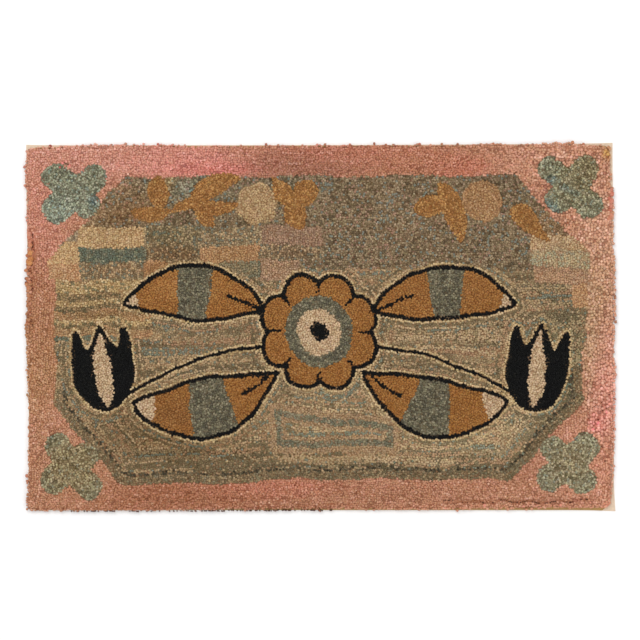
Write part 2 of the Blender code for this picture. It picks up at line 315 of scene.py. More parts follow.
def deselect_all() -> None:
    """Leaves object mode clean, with nothing selected."""
    if bpy.context.object and bpy.context.object.mode != "OBJECT":
        bpy.ops.object.mode_set(mode="OBJECT")
    bpy.ops.object.select_all(action="DESELECT")


@dataclass(frozen=True)
class Line:
    """A line on the rug's face that a row of loops follows.

    Attributes:
        points: its points, in order.
        closed: whether it comes back to its start.
    """

    points: np.ndarray
    closed: bool = False

    def stations(self, pitch: float, start: float) -> tuple[np.ndarray, np.ndarray, np.ndarray]:
        """Steps along the line.

        Args:
            pitch: the way between two loops.
            start: the first loop's way from the line's start.

        Returns:
            The places, the directions there, and the way along the line.
        """
        points = np.vstack([self.points, self.points[:1]]) if self.closed else self.points
        steps = np.diff(points, axis=0)
        lengths = np.hypot(*steps.T)
        keep = lengths > 1e-6
        steps, lengths = steps[keep], lengths[keep]
        starts = points[:-1][keep]
        if not len(lengths):
            return np.empty((0, 2)), np.empty((0, 2)), np.empty(0)
        ends = np.cumsum(lengths)
        run = np.arange(start, ends[-1], pitch)
        piece = np.minimum(np.searchsorted(ends, run, side="right"), len(ends) - 1)
        into = run - (ends[piece] - lengths[piece])
        ways = steps / lengths[:, None]
        return starts[piece] + ways[piece] * into[:, None], ways[piece], run

    def moved_out(self, distance: float) -> "Line":
        """The line pushed out sideways by a distance, to its right hand as it is drawn.

        Args:
            distance: how far, in millimetres.

        Returns:
            The moved line.
        """
        after = np.roll(self.points, -1, axis=0)
        before = np.roll(self.points, 1, axis=0)
        way = after - before
        if not self.closed:
            way[0] = self.points[1] - self.points[0]
            way[-1] = self.points[-1] - self.points[-2]
        length = np.maximum(np.hypot(*way.T), 1e-9)
        side = np.stack([way[:, 1], -way[:, 0]], 1) / length[:, None]
        return Line(self.points + side * distance, self.closed)


def signed_distance(outline: np.ndarray, points: np.ndarray) -> np.ndarray:
    """How far points lie from a closed outline.

    Args:
        outline: the outline's points in order.
        points: an array of points, one a row.

    Returns:
        The distances, negative inside.
    """
    starts, ends = outline, np.roll(outline, -1, axis=0)
    nearest = np.full(len(points), np.inf)
    inside = np.zeros(len(points), bool)
    for (ax, ay), (bx, by) in zip(starts, ends):
        way_x, way_y = bx - ax, by - ay
        off_x, off_y = points[:, 0] - ax, points[:, 1] - ay
        share = np.clip((off_x * way_x + off_y * way_y) / (way_x**2 + way_y**2 + 1e-12), 0, 1)
        np.minimum(nearest, np.hypot(off_x - share * way_x, off_y - share * way_y), out=nearest)
        crosses = (ay > points[:, 1]) != (by > points[:, 1])
        reach = ax + (points[:, 1] - ay) * way_x / (way_y if abs(way_y) > 1e-12 else 1e-12)
        inside ^= crosses & (points[:, 0] < reach)
    return np.where(inside, -nearest, nearest)


def by_hand(points: np.ndarray) -> np.ndarray:
    """Points shifted a little, as a freehand drawing strays.

    Args:
        points: places, in millimetres, their last axis X and Y.

    Returns:
        The shifted places.
    """
    x, y = points[..., 0], points[..., 1]
    off_x = 1.9 * np.sin(y / 23 + x / 41) + 1.0 * np.sin(y / 8.7 - x / 19)
    off_y = 1.9 * np.sin(x / 27 - y / 37) + 0.9 * np.sin(x / 10.3 + y / 15)
    return points + np.stack([off_x, off_y], -1)


def line_gap(line: np.ndarray, points: np.ndarray) -> np.ndarray:
    """How far points lie from an open line.

    Args:
        line: the line's points in order.
        points: an array of points, one a row.

    Returns:
        The distances.
    """
    nearest = np.full(len(points), np.inf)
    for start, end in zip(line, line[1:]):
        way = end - start
        share = np.clip((points - start) @ way / (way @ way + 1e-12), 0, 1)
        np.minimum(nearest, np.hypot(*(points - start - share[:, None] * way).T), out=nearest)
    return nearest


def bowed(start: Pair, bend: Pair, end: Pair, steps: int) -> np.ndarray:
    """A curve from start to end, drawn towards a bend.

    Args:
        start: the curve's start.
        bend: the point that it is drawn towards.
        end: its end.
        steps: how many pieces it is drawn in.

    Returns:
        Its points in order.
    """
    share = np.linspace(0, 1, steps + 1)[:, None]
    first, middle, last = np.array(start), np.array(bend), np.array(end)
    return (1 - share) ** 2 * first + 2 * share * (1 - share) * middle + share**2 * last


def anticlockwise(outline: np.ndarray) -> np.ndarray:
    """The outline drawn anticlockwise, so that its right hand points outwards.

    Args:
        outline: a closed outline's points, drawn either way.

    Returns:
        The same points in their new order.
    """
    x, y = outline.T
    turned = np.sum(x * np.roll(y, -1) - np.roll(x, -1) * y)
    return outline if turned > 0 else outline[::-1]


@dataclass(frozen=True)
class Motif:
    """A figure of the pattern, with an outline and zones inside it.

    Attributes:
        outlined: whether it has a black outline and a cream row round it.
    """

    outlined: bool = True

    def outline(self) -> np.ndarray:
        """The figure's closed outline."""
        raise NotImplementedError

    def zones(self, points: np.ndarray) -> np.ndarray:
        """Which zone each point inside the figure belongs to."""
        raise NotImplementedError

    def drawn(self) -> np.ndarray:
        """The outline as the hand drew it, anticlockwise."""
        return anticlockwise(by_hand(self.outline()))


@dataclass(frozen=True)
class Rosette(Motif):
    """A round flower with scalloped petals and rings inside it."""

    centre: Pair = (0.0, 0.0)
    radius: float = 100.0
    petals: int = 8
    notch: float = 0.16
    turn: float = 0.0
    rings: tuple[tuple[float, Zone], ...] = ((1.0, Zone.OCHRE),)
    points_count: int = 144
    seam: float = 2.6

    def outline(self) -> np.ndarray:
        """Petal tips at full radius, with notches between them.

        Returns:
            The outline's points in order.
        """
        turns = np.linspace(0, math.tau, self.points_count, endpoint=False)
        swell = np.abs(np.cos(self.petals * (turns - self.turn) / 2)) ** 0.7
        reach = self.radius * (1 - self.notch * (1 - swell))
        x, y = self.centre
        return np.stack([x + reach * np.cos(turns), y + reach * np.sin(turns)], 1)

    def zones(self, points: np.ndarray) -> np.ndarray:
        """The rings, from the middle outwards.

        Args:
            points: places inside the flower.

        Returns:
            The zone at each.
        """
        off = points - np.array(self.centre)
        reach = np.hypot(*off.T)
        found = np.full(len(points), int(self.rings[-1][1]))
        for ring, zone in reversed(self.rings):
            found[reach <= ring * self.radius] = int(zone)
        if self.outlined:
            phase = (self.petals * (np.arctan2(off[:, 1], off[:, 0]) - self.turn) / 2) % math.pi
            seam = reach * np.abs(phase - math.pi / 2) * 2 / self.petals
            found[(seam < self.seam) & (reach > 0.64 * self.radius)] = Zone.BLACK
        return found


@dataclass(frozen=True)
class Blade(Motif):
    """A leaf drawn along a bent spine, with bands of other wool across it."""

    start: Pair = (0.0, 0.0)
    bend: Pair = (50.0, 50.0)
    end: Pair = (100.0, 0.0)
    half_width: float = 20.0
    fullest: float = 0.5
    bands: tuple[tuple[float, Zone], ...] = ((1.0, Zone.OCHRE),)
    steps: int = 40
    rib: float = 0.0

    def spine(self) -> np.ndarray:
        """The leaf's middle line."""
        return bowed(self.start, self.bend, self.end, self.steps)

    def outline(self) -> np.ndarray:
        """Up one side of the leaf and back down the other.

        Returns:
            The outline's points in order.
        """
        spine = Line(self.spine())
        share = np.linspace(0, 1, self.steps + 1)
        power = math.log(0.5) / math.log(self.fullest)
        width = self.half_width * np.sin(math.pi * share**power) ** 0.75
        side = spine.moved_out(1.0).points - spine.points
        right, left = spine.points + side * width[:, None], spine.points - side * width[:, None]
        return np.vstack([right, left[-2:0:-1]])

    def zones(self, points: np.ndarray) -> np.ndarray:
        """The bands, from the stalk to the tip.

        Args:
            points: places inside the leaf.

        Returns:
            The zone at each.
        """
        spine = self.spine()
        gaps = np.hypot(
            points[:, None, 0] - spine[None, :, 0], points[:, None, 1] - spine[None, :, 1]
        )
        share = gaps.argmin(1) / self.steps
        found = np.full(len(points), int(self.bands[-1][1]))
        for reach, zone in reversed(self.bands):
            found[share <= reach] = int(zone)
        found[(gaps.min(1) < 3.4) & (share < self.rib)] = Zone.BLACK
        return found


@dataclass(frozen=True)
class Bud(Motif):
    """A tulip bud: a rounded cup with three points, and a pale petal up its middle."""

    foot: Pair = (0.0, 0.0)
    height: float = 92.0
    half_width: float = 38.0
    lean: float = 0.0
    petal_share: float = 0.34

    def local(self, points: np.ndarray) -> np.ndarray:
        """Points seen from the bud's foot, with the bud upright, in shares of its size.

        Args:
            points: places in the field.

        Returns:
            Their shares of the bud's size.
        """
        cos, sin = math.cos(self.lean), math.sin(self.lean)
        x, y = points[:, 0] - self.foot[0], points[:, 1] - self.foot[1]
        return np.stack([(x * cos + y * sin) / self.half_width, (y * cos - x * sin) / self.height], 1)

    def outline(self) -> np.ndarray:
        """The cup's sides, then its three points.

        Returns:
            The outline's points in order.
        """
        turns = np.linspace(-math.pi, 0, 40)
        cup = np.stack([np.cos(turns), 0.42 + 0.42 * np.sin(turns)], 1)
        tips = np.array([[1.0, 0.62], [0.94, 0.95], [0.52, 0.70], [0.0, 1.0]])
        right = smooth_through(np.vstack([cup[-1:], tips]), 8)
        left = right[::-1] * (-1, 1)
        shape = np.vstack([cup, right[1:], left[1:-1]])
        x, y = shape[:, 0] * self.half_width, shape[:, 1] * self.height
        cos, sin = math.cos(self.lean), math.sin(self.lean)
        return np.stack([self.foot[0] + x * cos - y * sin, self.foot[1] + x * sin + y * cos], 1)

    def zones(self, points: np.ndarray) -> np.ndarray:
        """Cream up the middle, black either side.

        Args:
            points: places inside the bud.

        Returns:
            The zone at each.
        """
        seen = self.local(points)
        petal = np.abs(seen[:, 0]) < self.petal_share * np.sin(
            math.pi * np.clip(seen[:, 1] / 0.98, 0, 1) ** 0.8
        )
        return np.where(petal, Zone.CREAM, Zone.BLACK)


@dataclass(frozen=True)
class CrossLeaf(Motif):
    """A corner figure: four arms with round ends that meet in a cross.

    Attributes:
        arms: each arm's turn in degrees, its reach and its half width.
    """

    outlined: bool = False
    centre: Pair = (0.0, 0.0)
    arms: tuple[tuple[float, float, float], ...] = ()

    def outline(self) -> np.ndarray:
        """The farthest arm's edge, all the way round the centre.

        Returns:
            The outline's points in order.
        """
        turns = np.linspace(0, math.tau, 160, endpoint=False)
        reach = np.zeros(len(turns))
        for turn_degrees, tip, half_width in self.arms:
            off = (turns - math.radians(turn_degrees) + math.pi) % math.tau - math.pi
            along, aside = (tip - half_width) * np.cos(off), (tip - half_width) * np.sin(off)
            on_tip = (np.abs(aside) < half_width) & (along > 0)
            rounded = along + np.sqrt(np.maximum(half_width**2 - aside**2, 0))
            flank = half_width / np.maximum(np.abs(np.sin(off)), 1e-6)
            arm = np.where(on_tip, rounded, np.where(np.abs(off) < math.pi / 2, flank, half_width))
            reach = np.maximum(reach, arm)
        x, y = self.centre
        return np.stack([x + reach * np.cos(turns), y + reach * np.sin(turns)], 1)

    def zones(self, points: np.ndarray) -> np.ndarray:
        """One mix all over."""
        return np.full(len(points), Zone.CORNER_LEAF)


def smooth_through(points: np.ndarray, steps: int) -> np.ndarray:
    """A smooth open line through points.

    Args:
        points: the points it passes, in order.
        steps: how many short pieces join two of them.

    Returns:
        The line's points.
    """
    padded = np.vstack([2 * points[0] - points[1], points, 2 * points[-1] - points[-2]])
    shares = np.linspace(0, 1, steps, endpoint=False)[:, None]
    pieces = []
    for a, b, c, d in zip(padded, padded[1:], padded[2:], padded[3:]):
        pieces.append(
            0.5
            * (
                2 * b
                + (c - a) * shares
                + (2 * a - 5 * b + 4 * c - d) * shares**2
                + (3 * b - a - 3 * c + d) * shares**3
            )
        )
    return np.vstack([*pieces, points[-1:]])


# The field has its corners cut off, and its lower edge runs a little downhill to the left.
FIELD_OUTLINE = np.array(
    [
        *((-337, 258.8), (-408, 178), (-457.6, 126), (-457.6, -134.8), (-348.8, -271.5)),
        *((-170, -270.5), (-40, -262), (327.9, -264.2), (454, -126.2), (453, -56)),
        *((465, 64), (465, 128), (441, 151), (425, 161.5), (339.5, 262.3)),
    ]
)

CORNER_LEAVES = tuple(
    CrossLeaf(centre=centre, arms=arms)
    for centre, arms in (
        ((-424, 229.5), ((139, 67, 23), (42, 66, 22), (222, 66, 23), (321, 50, 21))),
        ((431.5, 241.5), ((139, 68, 21), (46, 65, 23), (226, 52, 22), (318, 68, 23))),
        ((-428, -240), ((128, 63, 22), (36, 50, 23), (217, 65, 23), (310, 68, 23))),
        ((428, -236), ((138, 58, 20), (45, 66, 23), (221, 62, 22), (313, 62, 23))),
    )
)

# The two stems: start, bend and end.
STEMS = (((100, -34), (262, -56), (360, -138)), ((-103, -34), (-264, -56), (-360, -138)))

# The leaves and twigs along the field's top: start, bend, end, half width and fullest place.
SPRAY_LEAVES = (
    ((-276, 202), (-284, 232), (-273, 260), 19, 0.5),
    ((-330, 200), (-296, 184), (-258, 204), 13, 0.5),
    ((-262, 196), (-226, 222), (-186, 222), 9, 0.5),
    ((-222, 214), (-196, 252), (-136, 256), 20, 0.5),
    ((-222, 212), (-188, 196), (-138, 210), 14, 0.5),
    ((-212, 216), (-204, 196), (-182, 170), 14, 0.5),
    ((-84, 256), (-62, 228), (-44, 212), 18, 0.5),
    ((-12, 256), (-20, 232), (-50, 212), 22, 0.5),
    ((-54, 226), (-46, 196), (-32, 166), 19, 0.5),
    ((162, 196), (182, 214), (226, 206), 19, 0.5),
    ((206, 250), (228, 214), (246, 146), 20, 0.5),
    ((341, 211), (352, 180), (399, 150), 20, 0.3),
)


def mirrored(leaf: Blade) -> Blade:
    """The same leaf on the rug's other half."""
    start, bend, end = ((-x, y) for x, y in (leaf.start, leaf.bend, leaf.end))
    return replace(leaf, start=start, bend=bend, end=end)


def banded(*reaches: float) -> tuple[tuple[float, Zone], ...]:
    """A leaf's bands of ochre, slate, ochre and cream, from the reach of the first three."""
    return tuple(zip((*reaches, 1.0), (Zone.OCHRE, Zone.SLATE, Zone.OCHRE, Zone.CREAM)))


def field_motifs() -> list[Motif]:
    """The figures of the field: a rosette between two pairs of banded leaves, and two buds.

    Returns:
        The figures, the rosette first.
    """
    rings = ((0.15, Zone.BLACK), (0.38, Zone.CREAM), (0.58, Zone.SLATE), (1.0, Zone.OCHRE))
    rosette = Rosette(centre=(-2, -8), radius=103, petals=8, notch=0.18, turn=0.39, rings=rings)
    upper = Blade(True, (96, 28), (208, 84), (338, 40), 46, 0.5, banded(0.40, 0.64, 0.90), rib=0.3)
    lower = Blade(True, (78, -78), (190, -176), (322, -128), 50, 0.52, banded(0.34, 0.62, 0.86), rib=0.26)
    buds = [Bud(True, (side * 368, -142), 144, 48, lean=-0.1 * side) for side in (1, -1)]
    return [rosette, upper, mirrored(upper), lower, mirrored(lower), *buds]


def spray_motifs() -> list[Motif]:
    """The small flowers and leaves along the field's top, with no outline.

    Returns:
        The figures.
    """
    bloom = Rosette(False, (-110, 212), 36, 6, 0.13, 0.3, ((1.0, Zone.BLOOM),), 72)
    disc = Rosette(False, (281, 218), 36, 9, 0.05, 0.0, ((1.0, Zone.DISC),), 72)
    return [bloom, disc, *(Blade(False, *leaf, ((1.0, Zone.SPRAY),), 16) for leaf in SPRAY_LEAVES)]


class Bar(NamedTuple):
    """A block of one wool mix in the field, or a stripe if it is long."""

    left: float
    bottom: float
    right: float
    top: float
    zone: Zone

    def is_stripe(self) -> bool:
        """Whether this is a long stripe, hooked along its length."""
        return self.right - self.left > 150

    def wave(self, x: np.ndarray) -> np.ndarray:
        """How far a stripe wavers up and down at places along X."""
        return 2.3 * np.sin(x / 15 + 1.3) * self.is_stripe()


BARS = tuple(
    Bar(*row)
    for row in (
        (-418, 137, -304, 173, Zone.BEIGE_BAR), (-304, 139, -207, 174, Zone.TWEED_BAR),
        (-207, 140, -104, 174, Zone.TWEED_BAR), (-104, 142, 4, 174, Zone.MAUVE_BAR),
        (-476, 108, -415, 146, Zone.BEIGE_BAR), (-415, 112, -304, 137, Zone.TEAL_BAR),
        (-304, 112, -207, 139, Zone.TWEED_BAR), (-207, 112, -104, 140, Zone.PEACH_BAR),
        (-104, 117, 4, 142, Zone.TWEED_BAR), (-476, 81, -413, 108, Zone.PEACH_BAR),
        (-413, 84, -304, 112, Zone.TWEED_BAR), (-304, 81, -207, 112, Zone.PEACH_BAR),
        (-207, 86, -102, 112, Zone.TEAL_BAR), (-102, 81, -36, 117, Zone.MAUVE_BAR),
        (-459, 58, -290, 81, Zone.KHAKI_BAR), (-459, 46, -290, 58, Zone.DARK_BAR),
        (-459, 37, -290, 46, Zone.KHAKI_BAR), (-459, 27, -290, 37, Zone.DARK_BAR),
        (-459, 14, -290, 27, Zone.PEACH_BAR), (-459, 5, -290, 14, Zone.KHAKI_BAR),
        (-459, -2, -290, 5, Zone.DARK_BAR), (-459, -17, -290, -2, Zone.PEACH_BAR),
        (-459, -25, -340, -17, Zone.TEAL_BAR), (363, 134, 472, 158, Zone.BEIGE_BAR),
        (366, 103, 472, 134, Zone.PALE_BAR), (370, 75, 472, 103, Zone.MAUVE_BAR),
        (436, 34, 472, 75, Zone.PEACH_BAR),
    )
)


class Nest(NamedTuple):
    """Oblongs hooked one inside the other, each ring in its own wool.

    Attributes:
        fall: how much lower the top is at its right end.
        rings: what the rings are hooked as, from the outermost; the ground's mix inside them.
    """

    centre_x: float
    centre_y: float
    half_x: float
    half_y: float
    fall: float = 0.0
    rings: tuple[Zone, ...] = ()

    def ring_at(self, places: np.ndarray) -> np.ndarray:
        """Which ring places lie on, counted from the outermost; below 0 outside.

        Args:
            places: places, their last axis X and Y.

        Returns:
            A ring's number for each.
        """
        x, y = places[..., 0] - self.centre_x, places[..., 1] - self.centre_y
        top = self.half_y - self.fall * (x + self.half_x) / (2 * self.half_x)
        inset = np.minimum(np.minimum(self.half_x - np.abs(x), y + self.half_y), top - y)
        return np.rint(inset / ROW_PITCH)

    def row(self, inset: float) -> Line:
        """The row of loops at an inset, as the hand drew it.

        Args:
            inset: how far inside the nest's edge it runs.

        Returns:
            The row's line.
        """
        x, y = self.half_x - inset, self.half_y - inset
        fall = self.fall * (1 - inset / self.half_y)
        corners = np.array([(-x, -y), (x, -y), (x, y - fall), (-x, y)])
        points = Line(corners, closed=True).stations(7.0, 0.0)[0]
        return Line(by_hand(points + np.array([self.centre_x, self.centre_y])), closed=True)


NEST_RINGS = (*[Zone.TAN_ROW] * 3, *[Zone.GREY_ROW] * 3, *[Zone.TAN_ROW] * 2)
NESTS = (
    Nest(24, -175, 110, 41, 28, NEST_RINGS),
    Nest(196, -6, 74, 22),
    Nest(-196, -6, 74, 22),
)


@dataclass
class Drawing:
    """The pattern as it is drawn on the hessian, cell by cell.

    Attributes:
        half_x: how far the drawing reaches from the middle along X.
        half_y: how far it reaches along Y.
        cell: the size of one cell.
        outline_width: the width of a figure's black outline.
        halo_width: the width of the cream row round it.
        stem_half: half the width of a stem.
        stem_halo: how far from a stem's middle its cream rows reach.
        edge_width: the width of the field's own edge.
        tweed_bottom: where the streaky ground gives way to tweed, going up.
        overhang: how far the leftmost blocks pass the field's outline.
        zones: the zone of each cell.
        figure_gap: how far each cell lies from the nearest outlined figure.
        places: the middle of each cell.
    """

    half_x: float = 530.0
    half_y: float = 340.0
    cell: float = 1.0
    outline_width: float = 7.6
    halo_width: float = 4.6
    stem_half: float = 3.2
    stem_halo: float = 7.4
    edge_width: float = 15.4
    tweed_bottom: float = 100.0
    overhang: float = 14.0
    zones: np.ndarray = field(init=False)
    figure_gap: np.ndarray = field(init=False)
    places: np.ndarray = field(init=False)

    def __post_init__(self) -> None:
        """Draws the pattern from the ground up."""
        x = np.arange(-self.half_x, self.half_x + self.cell, self.cell)
        y = np.arange(-self.half_y, self.half_y + self.cell, self.cell)
        grid_x, grid_y = np.meshgrid(x, y)
        self.places = np.stack([grid_x, grid_y], -1)
        seen = by_hand(self.places)
        gap = signed_distance(FIELD_OUTLINE, seen.reshape(-1, 2)).reshape(grid_x.shape)
        ground = np.where(grid_y > self.tweed_bottom, Zone.TWEED, Zone.STREAKS)
        self.zones = np.where(gap < 0, ground, Zone.BORDER)
        self.figure_gap = np.full(grid_x.shape, 1e3)
        self.draw_bars(seen, gap)
        for nest in NESTS:
            ring = nest.ring_at(2 * self.places - seen)
            for number, zone in enumerate(nest.rings):
                self.zones[(ring == number) & (gap < 0)] = zone
        low = grid_y < np.where(grid_x > 0, -66, -118)
        self.zones[(gap < 0) & (gap > -self.edge_width) & low] = Zone.EDGE
        for motif in (*CORNER_LEAVES, *spray_motifs(), *field_motifs()):
            self.draw(motif)
        for stem in STEMS:
            self.draw_stem(bowed(*stem, 30))

    def draw_bars(self, seen: np.ndarray, gap: np.ndarray) -> None:
        """Draws the blocks and stripes.

        Args:
            seen: the cells' places, shifted as the hand strayed.
            gap: how far the cells lie from the field's outline.
        """
        grid_x, grid_y = self.places[..., 0], self.places[..., 1]
        below_corner = grid_y < 109 + 1.2 * (grid_x + 473)
        for bar in BARS:
            height = seen[..., 1] - bar.wave(grid_x)
            inside = (seen[..., 0] > bar.left) & (seen[..., 0] < bar.right) & below_corner
            inside &= (height > bar.bottom) & (height < bar.top)
            inside &= gap < (self.overhang if bar.left < -460 else 0)
            self.zones[inside] = bar.zone

    def near(self, line: np.ndarray, margin: float) -> tuple[np.ndarray, ...]:
        """The cells round a line.

        Args:
            line: the line's points.
            margin: how far round them.

        Returns:
            Their places, and their zones and figure gaps, both to be drawn on.
        """
        corner = np.array([self.half_x, self.half_y])
        first = np.maximum(((line.min(0) - margin + corner) / self.cell).astype(int), 0)
        last = ((line.max(0) + margin + corner) / self.cell).astype(int) + 2
        window = slice(first[1], last[1]), slice(first[0], last[0])
        return self.places[window], self.zones[window], self.figure_gap[window]

    def draw(self, motif: Motif) -> None:
        """Draws one figure over what is there.

        Args:
            motif: the figure.
        """
        outline = motif.drawn()
        places, zones, known = self.near(outline, 40)
        gap = signed_distance(outline, places.reshape(-1, 2)).reshape(places.shape[:2])
        inside = gap < 0
        zones[inside] = motif.zones(by_hand(places[inside]))
        if motif.outlined:
            clear = known > 0
            halo = (gap > 0) & (gap < self.outline_width / 2 + self.halo_width) & clear
            zones[halo & (zones != Zone.BLACK)] = Zone.HALO
            zones[(np.abs(gap) < self.outline_width / 2) & clear] = Zone.BLACK
            np.minimum(known, gap, out=known)

    def draw_stem(self, line: np.ndarray) -> None:
        """Draws a black stem with a cream row either side, where no figure is.

        Args:
            line: the stem's middle line, before the hand strays.
        """
        line = by_hand(line)
        places, zones, known = self.near(line, 20)
        gap = line_gap(line, places.reshape(-1, 2)).reshape(places.shape[:2])
        clear = known > self.outline_width / 2
        zones[(gap < self.stem_halo) & clear & (zones != Zone.BLACK)] = Zone.HALO
        zones[(gap < self.stem_half) & clear] = Zone.BLACK

    def zone_at(self, points: np.ndarray) -> np.ndarray:
        """The zone under each point.

        Args:
            points: an array of points, one a row.

        Returns:
            A zone for each.
        """
        column = np.rint((points[:, 0] + self.half_x) / self.cell).astype(int)
        row = np.rint((points[:, 1] + self.half_y) / self.cell).astype(int)
        rows, columns = self.zones.shape
        return self.zones[np.clip(row, 0, rows - 1), np.clip(column, 0, columns - 1)]


class Side(Enum):
    """A side of the rug, in the order that its rim is walked.

    A side's value holds the axis along it, the axis across it, the sign of the way in along that
    one, and the sign of the way in which the side is walked.
    """

    SOUTH = (0, 1, 1, 1)
    EAST = (1, 0, -1, 1)
    NORTH = (0, 1, -1, -1)
    WEST = (1, 0, 1, -1)


def mesh_points(mesh: bpy.types.Mesh) -> np.ndarray:
    """A mesh's points, a row for each.

    Args:
        mesh: the mesh.

    Returns:
        The points, in metres.
    """
    points = np.zeros(len(mesh.vertices) * 3)
    mesh.vertices.foreach_get("co", points)
    return points.reshape(-1, 3)


def node_points(node: str) -> np.ndarray:
    """The points of one of the frame's nodes, in millimetres."""
    return mesh_points(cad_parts[node].data) / MM


@dataclass
class PileFrame:
    """The frame's pile solid: how far the loops reach, and how high they stand.

    Attributes:
        corner_radius: the radius of the pile's corners.
        depth: how far a side's points may lie from its outermost one.
        step: the way between two points of a rim.
        rims: each side's edge: places along it, and the edge's place across it.
        tree: the solid's surface.
    """

    corner_radius: float = 9.0
    depth: float = 9.0
    step: float = 6.0
    rims: dict[Side, tuple[np.ndarray, np.ndarray]] = field(init=False)
    tree: BVHTree = field(init=False)

    def __post_init__(self) -> None:
        """Reads the rims and the surface from the solid's mesh."""
        points = node_points("pile")
        self.rims = {}
        for side in Side:
            along, across, inward, _ = side.value
            inset = points[:, across] * inward
            near = points[inset - inset.min() < self.depth]
            places = np.round(near[:, along] / self.step).astype(int)
            groups = [near[places == place] for place in np.unique(places)]
            edge = np.array([group[np.argmin(group[:, across] * inward)] for group in groups])[2:-2]
            self.rims[side] = (edge[:, along], edge[:, across])
        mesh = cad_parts["pile"].data
        faces = [tuple(face.vertices) for face in mesh.polygons]
        self.tree = BVHTree.FromPolygons([vert.co for vert in mesh.vertices], faces)

    def rim_at(self, side: Side, along: np.ndarray | float) -> np.ndarray:
        """Where a side's edge lies, at places along it."""
        return np.interp(along, *self.rims[side])

    def gaps(self, points: np.ndarray) -> tuple[np.ndarray, np.ndarray]:
        """How far in points lie from the nearer of the west and east edges, and of the others.

        Args:
            points: an array of points, one a row.

        Returns:
            How far in they lie from the sides, then from the ends.
        """
        x, y = points.T
        side = np.minimum(x - self.rim_at(Side.WEST, y), self.rim_at(Side.EAST, y) - x)
        end = np.minimum(y - self.rim_at(Side.SOUTH, x), self.rim_at(Side.NORTH, x) - y)
        return side, end

    def ring(self, inset: Callable[[np.ndarray], np.ndarray]) -> Line:
        """A line that follows the rim at an inset.

        Args:
            inset: gives the inset at each of many points.

        Returns:
            The closed line, anticlockwise from the south-west corner.
        """
        west, south = self.rim_at(Side.WEST, 0), self.rim_at(Side.SOUTH, 0)
        east, north = self.rim_at(Side.EAST, 0), self.rim_at(Side.NORTH, 0)
        radius = self.corner_radius
        spans = [
            np.arange(west + radius, east - radius, self.step),
            np.arange(south + radius, north - radius, self.step),
        ]
        moved = []
        for side in Side:
            along, across, inward, walk = side.value
            points = np.empty((len(spans[along]), 2))
            points[:, along] = spans[along][::walk]
            points[:, across] = self.rim_at(side, points[:, along])
            depth = inset(points)
            keep = np.maximum(*self.gaps(points)) >= np.maximum(depth, radius)
            points[:, across] += inward * depth
            moved.append(points[keep])
        return Line(np.vstack(moved), closed=True)

    def inside(self, points: np.ndarray, margin: float) -> np.ndarray:
        """Which points lie inside the pile's outline by at least a margin.

        Args:
            points: an array of points, one a row.
            margin: how far inside, in millimetres.

        Returns:
            A mask with a row for each point.
        """
        side, end = self.gaps(points)
        radius = self.corner_radius
        in_corner = (side < radius) & (end < radius)
        rounded = radius - np.hypot(radius - side, radius - end)
        return np.where(in_corner, rounded, np.minimum(side, end)) > margin

    def surface(self, points: np.ndarray) -> tuple[np.ndarray, np.ndarray]:
        """The pile's top at points.

        Args:
            points: places on the rug's face, in millimetres.

        Returns:
            The heights in metres, and the surface's normals.
        """
        heights = np.empty(len(points))
        normals = np.empty((len(points), 3))
        down = Vector((0.0, 0.0, -1.0))
        for index, (x, y) in enumerate(points * MM):
            spot, normal, _, _ = self.tree.ray_cast(Vector((x, y, 0.1)), down)
            if spot is None:
                pulled = Vector((x, y, 0.0)) * (1 - 4 * MM / math.hypot(x, y))
                spot, normal, _, _ = self.tree.ray_cast(Vector((pulled.x, pulled.y, 0.1)), down)
            if spot is None:
                spot, normal, _, _ = self.tree.find_nearest(Vector((x, y, 8 * MM)))
            heights[index] = spot.z
            normals[index] = normal
        return heights, normals


class Loops(NamedTuple):
    """Loops as arrays, a row for each loop."""

    places: np.ndarray
    ways: np.ndarray
    zones: np.ndarray
    rows: np.ndarray
    runs: np.ndarray
    coarse: np.ndarray

    def chosen(self, keep: np.ndarray) -> "Loops":
        """The loops that a mask keeps."""
        return Loops(*(column[keep] for column in self))


class ShadeLine(NamedTuple):
    """Dark loops of painted shade along a line: a parted row where the pile sinks, or the lower rim.

    Attributes:
        start: one end of the line.
        end: the other end.
        sway: how far it wavers.
        dark: the share of its length hooked in dark loops of painted shade.
    """

    start: Pair
    end: Pair
    sway: float
    dark: float

    def way(self) -> tuple[np.ndarray, float]:
        """The way from end to end, and its length."""
        way = np.subtract(self.end, self.start)
        return way, float(np.hypot(*way))

    def spine(self, share: np.ndarray) -> np.ndarray:
        """The wavering line's points, at shares of its length.

        Args:
            share: shares of the line's length.

        Returns:
            A point for each share.
        """
        way, length = self.way()
        side = np.array([-way[1], way[0]]) / length
        sway = self.sway * np.sin(share * length / 7.0)
        return np.array(self.start) + share[:, None] * way + sway[:, None] * side

    def gap(self, points: np.ndarray) -> np.ndarray:
        """How far points lie from the line.

        Args:
            points: an array of points, one a row.

        Returns:
            The distances.
        """
        way, length = self.way()
        share = np.clip((points - np.array(self.start)) @ way / length**2, 0, 1)
        return np.hypot(*(points - self.spine(share)).T)


# Lines of painted shade (start, end, sway, share dark): parted rows, pits, and the lower rim's shadow.
SHADE_LINES = tuple(
    ShadeLine(*row)
    for row in (
        ((214, -300.5), (300, -303), 1.4, 0.6), ((304, -300), (392, -303.5), 1.6, 0.65),
        ((398, -303), (462, -299), 1.6, 0.55), ((-497, 160), (-496, 138), 0.8, 0.9),
        ((-494, 134), (-492, 112), 1, 1.0), ((-499.5, 82), (-497, 64), 0.8, 0.8),
        ((-499.5, 12), (-496, 0), 0.8, 0.8), ((-448, 284), (-432, 278), 1.2, 0.9),
        ((-432, -318.8), (-250, -318.2), 0.3, 0.4), ((-250, -318.2), (20, -316.8), 0.4, 0.5),
        ((468, -120), (490, -96), 1.6, 0.2), ((486, -130), (500, -118), 1.6, 0.45),
        ((480, -160), (494, -140), 1.6, 0.35), ((486, -206), (494, -232), 1.6, 0.4),
    )
)


